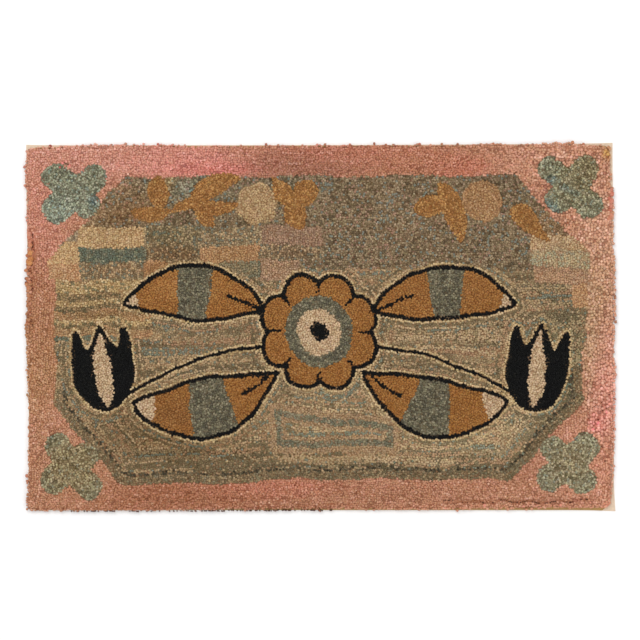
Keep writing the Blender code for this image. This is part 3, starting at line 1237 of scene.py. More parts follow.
class Tuft(NamedTuple):
    """One fat or stray loop that stands out: where, how big, which way it turns, its wool."""

    x: float
    y: float
    size: float
    turn: float
    red: int
    green: int
    blue: int


TUFTS = tuple(
    Tuft(*row)
    for row in (
        (-501, 128, 2.3, 80, 182, 122, 80), (-499, 117, 2.7, 24, 172, 110, 68),
        (-502, 111, 2.6, 140, 184, 124, 80), (-500, 141, 1.9, 66, 180, 118, 88),
        (-502, 154, 1.8, 104, 180, 114, 92), (-510, 84, 1.0, 40, 112, 62, 50),
        (-508, 77, 0.9, 90, 126, 70, 56), (-510, 244, 1.1, 90, 190, 128, 108),
        (-510, 277, 1.0, 60, 176, 112, 96), (-503, 24, 1.3, 110, 134, 80, 58),
        (-506, 8, 1.2, 60, 150, 90, 62), (-508, -257, 1.2, 90, 176, 112, 88),
        (-507, -266, 1.0, 70, 170, 108, 84), (-466, 315, 1.1, 20, 146, 72, 62),
        (-280, 316, 1.0, 0, 176, 104, 92), (-94, 315, 1.0, 10, 160, 96, 78),
        (172, 316, 1.1, 160, 172, 104, 84), (300, 317, 1.0, 0, 178, 116, 92),
        (437, 318, 1.3, 20, 182, 122, 92), (455, 316, 1.1, 170, 176, 112, 90),
        (503, 236, 1.5, 90, 184, 116, 98), (504, 229, 1.9, 70, 188, 116, 98),
        (500, 222, 1.6, 110, 176, 104, 86), (504, 217, 2.0, 96, 190, 120, 102),
        (503, 208, 1.9, 80, 184, 116, 98), (501, 200, 1.5, 120, 176, 108, 88),
        (505, 192, 2.1, 60, 190, 124, 100), (500, 186, 1.7, 30, 184, 120, 96),
        (510, 64, 1.1, 90, 190, 124, 104), (492, 303, 1.3, 40, 188, 142, 84),
        (497, 298, 1.2, 120, 194, 150, 94), (489, 296, 1.0, 20, 178, 130, 78),
        (-445, 283, 1.1, 20, 208, 128, 120), (-438, 286, 1.0, 80, 214, 138, 130),
        (-450, 276, 1.0, 140, 186, 92, 86), (-432, 279, 1.0, 60, 204, 122, 114),
        (-441, 275, 0.9, 10, 120, 62, 54), (494, -146, 1.1, 50, 226, 138, 134),
        (480, -166, 1.2, 50, 230, 128, 132), (487, -157, 1.1, 60, 226, 140, 136),
        (471, -176, 1.2, 40, 228, 122, 128), (501.5, -298, 1.0, 85, 194, 128, 108),
        (500.5, -303.5, 1.0, 75, 200, 136, 112), (497.5, -308, 1.0, 45, 190, 122, 100),
        (492.5, -310.5, 1.1, 15, 206, 146, 120), (486.5, -311.5, 1.0, 5, 198, 134, 106),
        (495.5, -303, 1.0, 60, 192, 128, 104), (490.5, -306, 1.0, 30, 204, 140, 116),
        (284, -309, 1.2, 10, 206, 136, 118), (352, -309, 1.1, 170, 198, 128, 108),
        (416, -308, 1.3, 0, 204, 132, 112),
    )
)


class Stitch(NamedTuple):
    """How a dark row is hooked, its loops jumping from side to side.

    Attributes:
        step: the way between two jumps.
        swing: how far they go aside.
        pitch: the way between two loops.
        sway: how far loops stray.
    """

    step: float
    swing: float
    pitch: float
    sway: float


OUTLINE_STITCH = Stitch(1.25, 1.55, 2.0, 0.3)
STEM_STITCH = Stitch(1.25, 1.0, 1.6, 0.25)
EDGE_STITCH = Stitch(1.5, 0.9, 2.9, 0.5)

EDGE_ROWS = range(4)
BORDER_ROWS = range(2, 46)
LOW_ROWS = range(6, 18)
ROWS_ROUND_FIGURES = (2.5, 3.5, 4.5, 5.5)
STEM_HALO_INSETS = (4.6, -4.6)

# The dark rows along the field's lower edge: their inset in rows, and how much of them shows.
DARK_ROWS = ((4.3, 0.7), (4.9, 0.42), (5.6, 0.2))

ROOM_CELL = 4
COARSE_GROWTH = 0.24


@dataclass
class Hooking:
    """Every loop hooked so far. A new one needs room beside those that are there.

    Attributes:
        drawing: the pattern.
        pile: the frame's pile.
        random: the source of all unevenness.
        room: the least way between two loops.
        rim_room: the least way from a loop to the rim.
        shade_line_room: the least way from a loop to a line of painted shade.
        shade_line_step: the way between two dark loops of painted shade along such a line.
        taken: the loops' places, by square of ground.
        columns: the loops' places, ways, zones, rows, runs and coarseness.
        row_count: how many wools have been taken up.
    """

    drawing: Drawing
    pile: PileFrame
    random: np.random.Generator
    room: float = LOOP_ROOM
    rim_room: float = 0.6
    shade_line_room: float = 1.9
    shade_line_step: float = 2.4
    taken: dict[tuple[int, int], list[Pair]] = field(default_factory=dict)
    columns: list[tuple] = field(default_factory=list)
    row_count: int = 0

    def coarseness(self, points: np.ndarray) -> np.ndarray:
        """How much larger the loops are at points: the upper right border is coarser work.

        Args:
            points: an array of points, one a row.

        Returns:
            A factor for each, 1 for fine work.
        """
        x, y = points.T
        over_top = np.clip((x - 330) / 60, 0, 1) * np.clip((y - 120) / 60, 0, 1)
        down_side = np.clip((x - 440) / 20, 0, 1) * np.clip((y + 260) / 60, 0, 1)
        left_rim = np.clip((-495 - x) / 5, 0, 1) * np.clip((150 - np.abs(y - 50)) / 50, 0, 1)
        share = np.maximum(np.maximum(over_top, down_side), 0.8 * left_rim)
        return 1 + COARSE_GROWTH * share * (self.drawing.zone_at(points) == Zone.BORDER)

    def hook_row(
        self,
        line: Line,
        zones: Iterable[Zone] | None,
        pitch: float = LOOP_PITCH,
        sway: float = 0.7,
        keep: Callable[[np.ndarray], np.ndarray] | None = None,
        as_zone: Zone | None = None,
        new_wool: bool = True,
    ) -> None:
        """Hooks a row of loops along a line, where the pattern wants it and there is room.

        Args:
            line: the line to follow.
            zones: the zones that the row may enter, or None for all.
            pitch: the way between two loops.
            sway: how far loops stray from the line.
            keep: a further test that a place has to pass.
            as_zone: the zone to hook as, where it isn't the drawn one.
            new_wool: whether the row has wool of its own, or goes on with the last row's.
        """
        places, ways, run = line.stations(pitch, self.random.uniform(0, pitch))
        if not len(places):
            return
        places = places + self.random.normal(0, sway, places.shape)
        found = self.drawing.zone_at(places)
        good = self.pile.inside(places, self.rim_room)
        good &= np.min([shade_line.gap(places) for shade_line in SHADE_LINES], axis=0) > self.shade_line_room
        if zones is not None:
            good &= np.isin(found, list(zones))
        if keep is not None:
            good &= keep(places)
        if as_zone is not None:
            found = np.full(len(found), as_zone)
        coarse = self.coarseness(places)
        self.row_count += new_wool
        for index in np.flatnonzero(good):
            x, y = places[index].tolist()
            if self.has_room(x, y, self.room * coarse[index]):
                self.take(x, y)
                loop = (x, y, *ways[index], found[index], self.row_count, run[index], coarse[index])
                self.columns.append(loop)

    def has_room(self, x: float, y: float, room: float) -> bool:
        """Whether no loop stands nearer to a place than the room that a new one needs.

        Args:
            x: the place along X.
            y: the place along Y.
            room: the least way to the next loop.

        Returns:
            Whether the place is free.
        """
        column, row = int(x // ROOM_CELL), int(y // ROOM_CELL)
        for near_x in (column - 1, column, column + 1):
            for near_y in (row - 1, row, row + 1):
                for other_x, other_y in self.taken.get((near_x, near_y), ()):
                    if (x - other_x) ** 2 + (y - other_y) ** 2 < room * room:
                        return False
        return True

    def take(self, x: float, y: float) -> None:
        """Notes that a loop stands at a place."""
        self.taken.setdefault((int(x // ROOM_CELL), int(y // ROOM_CELL)), []).append((x, y))

    def loops(self) -> Loops:
        """All the loops hooked so far.

        Returns:
            The loops, in the order in which they were hooked.
        """
        table = np.array(self.columns)
        zones, rows = table[:, 4].astype(int), table[:, 5].astype(int)
        return Loops(table[:, 0:2], table[:, 2:4], zones, rows, table[:, 6], table[:, 7])

    def hook_zigzag(
        self, line: Line, stitch: Stitch, zones: Iterable[Zone], **settings: object
    ) -> None:
        """Hooks a dark row along a line, in a stitch of its own."""
        jumping = zigzag(line, stitch.step, stitch.swing)
        self.hook_row(jumping, zones, stitch.pitch, stitch.sway, **settings)

    def hook_motif(self, motif: Motif, zones: Iterable[Zone]) -> None:
        """Hooks a figure: its outline and the row round it, then rows inside it.

        Args:
            motif: the figure.
            zones: what it is hooked as.
        """
        outline = Line(motif.drawn(), closed=True)
        shape = outline.points
        if motif.outlined:
            self.hook_zigzag(outline, OUTLINE_STITCH, [Zone.BLACK])
            self.hook_row(outline.moved_out(ROW_PITCH * 1.5), [Zone.HALO])
        deepest = max(-signed_distance(shape, shape.mean(0)[None])[0], 46.0)
        offset = ROW_PITCH * (1.5 if motif.outlined else 0.45)
        while offset < deepest:
            self.hook_row(
                outline.moved_out(-offset),
                zones,
                keep=lambda places, offset=offset: np.abs(
                    signed_distance(shape, places) + offset
                ) < 0.6 * ROW_PITCH,
            )
            offset += ROW_PITCH

    def hook_figures(self) -> None:
        """Hooks all the figures, those with outlines first."""
        for motif in field_motifs():
            self.hook_motif(motif, FIGURE_ZONES)
        for stem in STEMS:
            line = Line(by_hand(bowed(*stem, 30)))
            self.hook_zigzag(line, STEM_STITCH, [Zone.BLACK])
            for offset in STEM_HALO_INSETS:
                self.hook_row(line.moved_out(offset), [Zone.HALO])
        for motif in spray_motifs():
            self.hook_motif(motif, SPRAY_ZONES)
        for motif in CORNER_LEAVES:
            self.hook_motif(motif, [Zone.CORNER_LEAF])

    def hook_field_edge(self) -> None:
        """Hooks the field's grey-green edge, and the broken dark rows inside it."""
        outline = field_edge()
        for number in EDGE_ROWS:
            self.hook_row(outline.moved_out(-(number + 0.5) * ROW_PITCH), [Zone.EDGE])
        for inset, share in DARK_ROWS:
            self.hook_zigzag(
                outline.moved_out(-inset * ROW_PITCH),
                EDGE_STITCH,
                [Zone.EDGE, *GROUNDS],
                keep=lambda places, share=share: self.shows_dark(places, share),
                as_zone=Zone.EDGE_DARK,
            )

    def shows_dark(self, places: np.ndarray, share: float) -> np.ndarray:
        """Where a dark row shows: only low down, and in broken stretches but near the corners.

        Args:
            places: places along the row.
            share: the share of its loops that show.

        Returns:
            A mask with a row for each place.
        """
        x, y = places.T
        low = y < np.where(x > 0, -70, -110)
        unbroken = (np.sin(x / 13) + np.sin(y / 9 + x / 31) > -1.3) | (np.abs(x) > 300)
        return low & unbroken & (self.random.random(len(places)) < share)

    def hook_border(self) -> None:
        """Hooks the border in rows that follow the rug's rim."""
        for number in BORDER_ROWS:
            ring = self.pile.ring(
                lambda points, number=number: number * ROW_PITCH * self.coarseness(points) + 1.7
            )
            self.hook_row(ring, [Zone.BORDER])

    def hook_shade_lines(self) -> None:
        """Hooks small dark loops of painted shade down in the parted rows and along the lower rim."""
        for shade_line in SHADE_LINES:
            way, length = shade_line.way()
            spine = shade_line.spine(np.linspace(0, 1, max(int(length / self.shade_line_step), 2)))
            ahead = (way / length).tolist()
            self.row_count += 1
            for index in np.flatnonzero(self.random.random(len(spine)) < shade_line.dark):
                x, y = (spine[index] + self.random.normal(0, 0.3, 2)).tolist()
                self.take(x, y)
                run = index * self.shade_line_step
                self.columns.append((x, y, *ahead, int(Zone.CREASE), self.row_count, run, 0.62))

    def hook_bars(self) -> None:
        """Hooks the blocks in upright rows, and the stripes along their length."""
        for bar in BARS:
            if bar.is_stripe():
                x = np.arange(bar.left, bar.right, 6.0)
                for y in np.arange(bar.bottom + ROW_PITCH / 2, bar.top, ROW_PITCH):
                    self.hook_row(Line(np.stack([x, y + bar.wave(x)], 1)), BAR_ZONES)
            else:
                for x in np.arange(bar.left + ROW_PITCH / 2, bar.right, ROW_PITCH):
                    self.hook_row(Line(np.array([(x, bar.bottom), (x, bar.top)])), BAR_ZONES)

    def hook_ground(self) -> None:
        """Hooks the ground: round the figures, the nests, along the lower edge, then across."""
        for motif in field_motifs():
            outline = Line(motif.drawn(), closed=True)
            for number in ROWS_ROUND_FIGURES:
                self.hook_row(outline.moved_out(ROW_PITCH * number), GROUNDS)
        for nest in NESTS:
            for number, inset in enumerate(np.arange(0, nest.half_y, ROW_PITCH)):
                self.hook_row(nest.row(inset), GROUNDS, new_wool=number % 2 == 0)
        edge = field_edge()
        for number in LOW_ROWS:
            self.hook_row(
                edge.moved_out(-(number + 0.3) * ROW_PITCH),
                [Zone.STREAKS],
                keep=lambda places: places[:, 1] < -150 + 0.18 * np.abs(places[:, 0]),
                new_wool=self.random.random() < 0.75,
            )
        x = np.arange(-470, 470, 6.0)
        for y in np.arange(-280, 280, ROW_PITCH):
            waver = 5.0 * np.sin(x / 74 + y / 60) + 2.6 * np.sin(x / 31 - y / 43)
            waver *= np.clip((80 - y) / 40, 0.25, 1)
            row = Line(np.stack([x, y + waver], 1))
            self.hook_row(row, [*GROUNDS, Zone.EDGE], new_wool=self.random.random() < 0.5)

    def fill_gaps(self, step: float = 1.9) -> None:
        """Hooks single loops wherever there is still room for one, trying at each step.

        Args:
            step: the way between two places.
        """
        x = np.arange(-515, 515, step)
        for y in np.arange(-322, 322, step):
            shift = self.random.uniform(-0.5, 0.5)
            line = Line(np.stack([x + shift, np.full(len(x), y)], 1))
            self.hook_row(line, None, pitch=step, sway=0.3)


def zigzag(line: Line, step: float, swing: float) -> Line:
    """A line that jumps from side to side, as a hooked outline does.

    Args:
        line: the line to follow.
        step: the way between two jumps.
        swing: how far they go aside.

    Returns:
        The jumping line.
    """
    places, ways, _ = line.stations(step, 0.0)
    side = np.stack([ways[:, 1], -ways[:, 0]], 1)
    phase = np.array([0, 1, 0, -1])[np.arange(len(places)) % 4]
    return Line(places + side * (phase * swing)[:, None], line.closed)


def field_edge() -> Line:
    """The field's outline with points close together, as the hand drew it.

    Returns:
        The closed line, anticlockwise.
    """
    outline = Line(anticlockwise(FIELD_OUTLINE), closed=True)
    points = outline.stations(5.0, 0.0)[0]
    return Line(2 * points - by_hand(points), closed=True)


@dataclass
class WoolShop:
    """Dyes the loops: gives each its colour from its zone's mix.

    Attributes:
        random: the source of all unevenness.
        brightness: what makes up for the shade between loops, in red, green and blue.
        pit_shade_share: the share of coarse loops painted much darker, as painted shade of deep pits.
        dark: how much darker these are painted, in red, green and blue.
        tint: how much single loops differ in hue.
    """

    random: np.random.Generator
    brightness: tuple[float, float, float] = (1.15, 1.21, 1.19)
    pit_shade_share: float = 0.035
    dark: tuple[float, float, float] = (0.64, 0.5, 0.46)
    tint: float = 0.02

    def dye(self, loops: Loops) -> np.ndarray:
        """The colour of each loop.

        Args:
            loops: the loops.

        Returns:
            Linear red, green and blue, a row for each loop.
        """
        colours = np.zeros((len(loops.zones), 3))
        for zone, mix in MIXES.items():
            picked = np.flatnonzero(loops.zones == zone)
            if len(picked):
                colours[picked] = self.mixed(mix, loops.rows[picked], loops.runs[picked])
                if zone in PATCHES:
                    colours[picked] += patched(PATCHES[zone], mix, loops.places[picked])
        light = daylight(np.clip(colours, 4, 250))
        spread = np.array([MIXES[Zone(zone)].spread for zone in loops.zones])
        coarser = np.clip((loops.coarse - 1) / COARSE_GROWTH, 0, 1)
        light *= np.exp(self.random.normal(0, 1, len(light)) * spread * (1 + coarser))[:, None]
        # Painted shade: some coarse loops are darkened as the deep pits between them.
        light[self.random.random(len(light)) < self.pit_shade_share * coarser] *= np.array(self.dark)
        tint = self.random.normal(0, self.tint, light.shape)
        return np.clip(light * (1 + tint) * np.array(self.brightness), 0.003, 0.95)

    def mixed(self, mix: WoolMix, rows: np.ndarray, runs: np.ndarray) -> np.ndarray:
        """Shades from one mix: strips run along the rows, and single loops stray.

        Args:
            mix: the zone's mix.
            rows: each loop's row.
            runs: each loop's way along it.

        Returns:
            A colour from 0 to 255 for each loop.
        """
        shades = mix.colours()
        weights = mix.weights() / mix.weights().sum()
        lengths = mix.run * (0.6 + 0.8 * self.random.random(rows.max() + 1))
        strips = rows * 4096 + (runs / lengths[rows]).astype(int)
        _, strip = np.unique(strips, return_inverse=True)
        shade = self.random.choice(len(shades), strip.max() + 1, p=weights)[strip]
        own = self.random.choice(len(shades), len(rows), p=weights)
        stray = self.random.random(len(rows)) < mix.stray
        return shades[np.where(stray, own, shade)]


def patched(areas: tuple[Patch, ...], mix: WoolMix, places: np.ndarray) -> np.ndarray:
    """How far patches move a mix's colours at places.

    Args:
        areas: the patches.
        mix: the mix that they change.
        places: where the loops are.

    Returns:
        What to add to each loop's colour.
    """
    usual = mix.weights() @ mix.colours() / mix.weights().sum()
    total = np.zeros(len(places))
    shift = np.zeros((len(places), 3))
    for patch in areas:
        far = ((places[:, 0] - patch.x) / patch.reach_x) ** 2
        far += ((places[:, 1] - patch.y) / patch.reach_y) ** 2
        share = patch.strength * np.exp(-far)
        total += share
        shift += share[:, None] * (np.array(patch[5:], float) - usual)
    return shift / np.maximum(total, 1.0)[:, None]


@dataclass
class LoopForm:
    """One loop's shape, modelled once, about 1 long, 1 wide and 1 high, its foot at the origin."""

    points: np.ndarray
    corners: np.ndarray
    starts: np.ndarray
    soft: np.ndarray
    triangles: int

    @staticmethod
    def from_object(piece: bpy.types.Object, soft_above: float) -> "LoopForm":
        """Reads the shape from a modelled object, which is then removed.

        Args:
            piece: the object.
            soft_above: the faces that look up more than this blend into each other.

        Returns:
            The shape.
        """
        mesh = piece.data
        points, corners = mesh_points(mesh), mesh_corners(mesh)
        starts = np.zeros(len(mesh.polygons), np.int32)
        mesh.polygons.foreach_get("loop_start", starts)
        soft = np.array([face.normal.z > soft_above for face in mesh.polygons])
        bpy.data.objects.remove(piece)
        return LoopForm(points, corners, starts, soft, len(corners) - 2 * len(starts))


def mesh_corners(mesh: bpy.types.Mesh) -> np.ndarray:
    """The number of the point at each corner of a mesh's faces.

    Args:
        mesh: the mesh.

    Returns:
        A number for each corner.
    """
    corners = np.zeros(len(mesh.loops), np.int32)
    mesh.loops.foreach_get("vertex_index", corners)
    return corners


def select_verts(test: Callable[[Vector], bool]) -> None:
    """Selects the edited mesh's points that pass a test.

    Args:
        test: says of a point's place whether it is wanted.
    """
    sheet = bmesh.from_edit_mesh(bpy.context.object.data)
    bpy.ops.mesh.select_mode(type="VERT")
    bpy.ops.mesh.select_all(action="DESELECT")
    for vert in sheet.verts:
        vert.select = test(vert.co)
    sheet.select_flush(True)
    bmesh.update_edit_mesh(bpy.context.object.data)


def edit(piece: bpy.types.Object) -> None:
    """Applies a primitive's place and turn, and opens it in edit mode with all selected.

    Args:
        piece: the primitive.
    """
    bpy.context.view_layer.objects.active = piece
    bpy.ops.object.transform_apply(location=True, rotation=True, scale=True)
    bpy.ops.object.mode_set(mode="EDIT")
    bpy.ops.mesh.select_all(action="SELECT")


def finish_edit() -> bpy.types.Object:
    """Turns the edited mesh's faces outwards and leaves edit mode; gives the object.

    Returns:
        The edited object.
    """
    bpy.ops.mesh.select_all(action="SELECT")
    bpy.ops.mesh.normals_make_consistent(inside=False)
    bpy.ops.object.mode_set(mode="OBJECT")
    return bpy.context.object


def model_pile_loop() -> LoopForm:
    """Models a loop of the pile: a small flat crown over six shoulders, drawn in to its foot.

    Returns:
        The loop's shape.
    """
    deselect_all()
    bpy.ops.mesh.primitive_cylinder_add(vertices=6, radius=0.5, depth=1.0, location=(0, 0, 0.5))
    edit(bpy.context.object)
    bpy.ops.mesh.bisect(plane_co=(0, 0, 0.78), plane_no=(0, 0, 1))
    for third in range(3):
        middle = math.radians(120 * third + 60)
        way = Vector((math.cos(middle), math.sin(middle), 0))
        select_verts(lambda at, way=way: at.z > 0.9 and at.dot(way) > 0.3)
        bpy.ops.mesh.merge(type="CENTER")
    select_verts(lambda at: at.z > 0.9)
    bpy.ops.transform.resize(value=(0.78, 0.78, 1), center_override=(0, 0, 1))
    select_verts(lambda at: at.z < 0.1)
    bpy.ops.mesh.merge(type="CENTER")
    return LoopForm.from_object(finish_edit(), 0.1)


def model_rim_loop() -> LoopForm:
    """Models a loop of the rim, which shows its side: a bent tube that stands on both ends.

    Returns:
        The loop's shape.
    """
    deselect_all()
    bpy.ops.mesh.primitive_torus_add(
        major_radius=0.25,
        minor_radius=0.25,
        major_segments=10,
        minor_segments=6,
        rotation=(math.radians(90), 0, 0),
    )
    edit(bpy.context.object)
    bpy.ops.mesh.bisect(
        plane_co=(0, 0, -0.02), plane_no=(0, 0, 1), clear_inner=True, use_fill=True
    )
    select_verts(lambda at: at.z < 0.05)
    bpy.ops.transform.translate(value=(0, 0, -0.48))
    bpy.ops.transform.resize(value=(0.7, 1, 1))
    bpy.ops.mesh.select_all(action="SELECT")
    bpy.ops.transform.translate(value=(0, 0, 0.5))
    return LoopForm.from_object(finish_edit(), -2.0)


@dataclass(frozen=True)
class LoopSize:
    """How big a loop is, and how much single loops differ.

    Attributes:
        length: along its row, in millimetres.
        width: across its row.
        height: from its foot to its top.
        spread: the share by which these differ.
        tilt: how far loops lean, in degrees.
        turn: how far they turn out of their row, in degrees.
        sink: how far below the frame's surface a loop's top may lie.
        rise: how much higher a loop twice as coarse stands.
    """

    length: float = 5.0
    width: float = 4.7
    height: float = 5.4
    spread: float = 0.09
    tilt: float = 9.0
    turn: float = 40.0
    sink: float = 0.7
    rise: float = 2.2


PILE_SIZE = LoopSize()
RIM_SIZE = LoopSize(length=5.4, width=7.4, height=5.2, tilt=16, turn=36, sink=1.4)
TUFT_SIZE = LoopSize(length=5.6, width=8.4, height=5.4, tilt=14, turn=4, sink=0.0, rise=1.5)


def cross(a: np.ndarray, b: np.ndarray) -> np.ndarray:
    """The cross product of matching rows, scaled to length 1."""
    out = np.cross(a, b)
    return out / np.maximum(np.linalg.norm(out, axis=1), 1e-9)[:, None]


@dataclass
class LoopWork:
    """Turns hooked loops into joined meshes."""

    pile: PileFrame
    random: np.random.Generator
    finish: "WoolFinish"

    def axes(self, loops: Loops, normals: np.ndarray, size: LoopSize) -> np.ndarray:
        """Each loop's own axes: along its row, across it and up, uneven as by hand.

        Args:
            loops: the loops.
            normals: the pile's normals under them.
            size: how much they lean and turn.

        Returns:
            A matrix for each loop, its axes in columns.
        """
        count = len(loops.places)
        up = normals * 0.7 + np.array([0, 0, 0.3])
        up[:, :2] += self.random.normal(0, math.tan(math.radians(size.tilt)), (count, 2))
        up /= np.linalg.norm(up, axis=1)[:, None]
        turn = np.radians(self.random.normal(0, size.turn, count))
        way_x = loops.ways[:, 0] * np.cos(turn) - loops.ways[:, 1] * np.sin(turn)
        way_y = loops.ways[:, 0] * np.sin(turn) + loops.ways[:, 1] * np.cos(turn)
        along = np.stack([way_x, way_y, np.zeros(count)], 1)
        across = cross(up, along)
        return np.stack([cross(across, up), across, up], 2)

    def build(
        self, name: str, form: LoopForm, loops: Loops, colours: np.ndarray, size: LoopSize
    ) -> bpy.types.Object:
        """Builds one piece of pile.

        Args:
            name: the piece's name.
            form: the shape that each loop is a copy of.
            loops: where the loops are.
            colours: a colour for each loop.
            size: how big they are.

        Returns:
            The piece.
        """
        count = len(loops.places)
        heights, normals = self.pile.surface(loops.places)
        axes = self.axes(loops, normals, size)
        spread = np.exp(self.random.normal(0, size.spread, (count, 3)))
        scale = np.array([size.length, size.width, size.height]) * spread * MM
        scale[:, :2] *= loops.coarse[:, None]
        scale[:, 2] = size.height * MM
        tops = heights - self.random.uniform(0, size.sink, count) * MM
        tops += size.rise * (loops.coarse - 1) * MM
        shaped = form.points[None] - np.array([0, 0, 1.0])
        local = shaped * scale[:, None, :]
        points = np.einsum("nij,nvj->nvi", axes, local)
        points[:, :, 0] += loops.places[:, 0, None] * MM
        points[:, :, 1] += loops.places[:, 1, None] * MM
        points[:, :, 2] += tops[:, None]
        return self.joined(name, form, points, colours)

    def joined(
        self, name: str, form: LoopForm, points: np.ndarray, colours: np.ndarray
    ) -> bpy.types.Object:
        """Joins copies of a form into one mesh, with its colours and its map.

        Args:
            name: the piece's name.
            form: the shape of one loop.
            points: each copy's points, in metres.
            colours: a colour for each copy.

        Returns:
            The piece.
        """
        count, verts = points.shape[:2]
        mesh = bpy.data.meshes.new(name)
        shift = np.arange(count, dtype=np.int32)
        corners = (form.corners[None] + shift[:, None] * verts).ravel()
        starts = (form.starts[None] + shift[:, None] * len(form.corners)).ravel()
        mesh.vertices.add(count * verts)
        mesh.vertices.foreach_set("co", points.ravel())
        mesh.loops.add(len(corners))
        mesh.loops.foreach_set("vertex_index", corners)
        mesh.polygons.add(len(starts))
        mesh.polygons.foreach_set("loop_start", starts)
        mesh.update(calc_edges=True)
        mesh.validate()
        paint_wool(mesh, np.repeat(colours, verts, axis=0))
        face_map(mesh)
        mesh.polygons.foreach_set("use_smooth", np.tile(form.soft, count))
        piece = bpy.data.objects.new(name, mesh)
        bpy.context.scene.collection.objects.link(piece)
        mesh.materials.append(self.finish.material())
        LOG.info("%s: %d loops, %d triangles", name, count, count * form.triangles)
        return piece


def paint_wool(mesh: bpy.types.Mesh, colours: np.ndarray) -> None:
    """Gives each point of a mesh the colour of its wool.

    Args:
        mesh: the mesh.
        colours: linear red, green and blue for each point.
    """
    rgba = np.ones((len(colours), 4), np.float32)
    rgba[:, :3] = colours
    paint = mesh.color_attributes.new("wool", "FLOAT_COLOR", "POINT")
    paint.data.foreach_set("color", rgba.ravel())


def face_map(mesh: bpy.types.Mesh, margin: float = 0.004) -> None:
    """Gives a mesh a map that looks straight down on it, from edge to edge.

    Args:
        mesh: the mesh.
        margin: the share left free along the map's edges.
    """
    layer = mesh.uv_layers.new(name="OFBake")
    flat = mesh_points(mesh)[:, :2]
    low, high = flat.min(0), flat.max(0)
    shares = margin + (flat - low) / (high - low) * (1 - 2 * margin)
    layer.data.foreach_set("uv", shares[mesh_corners(mesh)].ravel())


Socket = bpy.types.NodeSocket


@dataclass(frozen=True)
class NodeTools:
    """Small helpers that wire a material's nodes."""

    tree: bpy.types.NodeTree

    def add(self, kind: str, **settings: object) -> bpy.types.Node:
        """Adds a node with settings.

        Args:
            kind: the node's type.
            settings: its settings by name.

        Returns:
            The node.
        """
        node = self.tree.nodes.new(kind)
        for name, value in settings.items():
            setattr(node, name, value)
        return node

    def join(self, source: Socket, target: Socket) -> None:
        """Links two sockets."""
        self.tree.links.new(source, target)

    def feed(self, node: bpy.types.Node, **inputs: object) -> None:
        """Sets a node's inputs: a value is set on the socket, and a socket is linked to it.

        Args:
            node: the node.
            inputs: its inputs by name, with _ for a space.
        """
        for name, value in inputs.items():
            target = node.inputs[name.replace("_", " ")]
            if isinstance(value, bpy.types.NodeSocket):
                self.join(value, target)
            else:
                target.default_value = value

    def noise(self, where: Socket, scale: float, detail: float) -> Socket:
        """A noise of a given scale, from 0 to 1.

        Args:
            where: the coordinates.
            scale: how fine it is.
            detail: how many finer layers it has.

        Returns:
            The noise's socket.
        """
        node = self.add("ShaderNodeTexNoise")
        self.feed(node, Scale=scale, Detail=detail, Vector=where)
        return node.outputs["Fac"]

    def ranged(self, value: Socket, low: float, high: float, lowest: float = 0.0) -> Socket:
        """A value between the lowest and 1, spread between two others.

        Args:
            value: the value.
            low: what its lowest becomes.
            high: what 1 becomes.
            lowest: the lowest value.

        Returns:
            The new value's socket.
        """
        node = self.add("ShaderNodeMapRange")
        self.feed(node, To_Min=low, To_Max=high, From_Min=lowest, Value=value)
        return node.outputs["Result"]

    def maths(self, operation: str, first: Socket, second: Socket | float = 0.0) -> Socket:
        """One sum of two values.

        Args:
            operation: the sum's kind.
            first: the first value.
            second: the second value, unused by a sum of one.

        Returns:
            The result's socket.
        """
        node = self.add("ShaderNodeMath", operation=operation)
        self.join(first, node.inputs[0])
        if isinstance(second, float):
            node.inputs[1].default_value = second
        else:
            self.join(second, node.inputs[1])
        return node.outputs[0]

    def tinted(self, colour: Socket, value: Socket) -> Socket:
        """A colour made lighter or darker by a value about 1.

        Args:
            colour: the colour.
            value: the value.

        Returns:
            The new colour's socket.
        """
        node = self.add("ShaderNodeMix", data_type="RGBA", blend_type="MULTIPLY")
        self.feed(node, Factor=1.0, A=colour, B=value)
        return node.outputs["Result"]

    def bump(self, height: Socket, strength: float, distance: float) -> Socket:
        """The normals of a fine relief, its height in metres.

        Args:
            height: the relief's height, from 0 to 1.
            strength: how strongly it shows.
            distance: the height in metres that 1 stands for.

        Returns:
            The normals' socket.
        """
        node = self.add("ShaderNodeBump")
        self.feed(node, Strength=strength, Distance=distance, Height=height)
        return node.outputs["Normal"]


def new_material(name: str) -> tuple[bpy.types.Material, NodeTools, bpy.types.Node]:
    """Starts a material.

    Args:
        name: its name.

    Returns:
        The material, its tools and its shader.
    """
    material = bpy.data.materials.new(name)
    material.use_nodes = True
    shader = material.node_tree.nodes["Principled BSDF"]
    return material, NodeTools(material.node_tree), shader


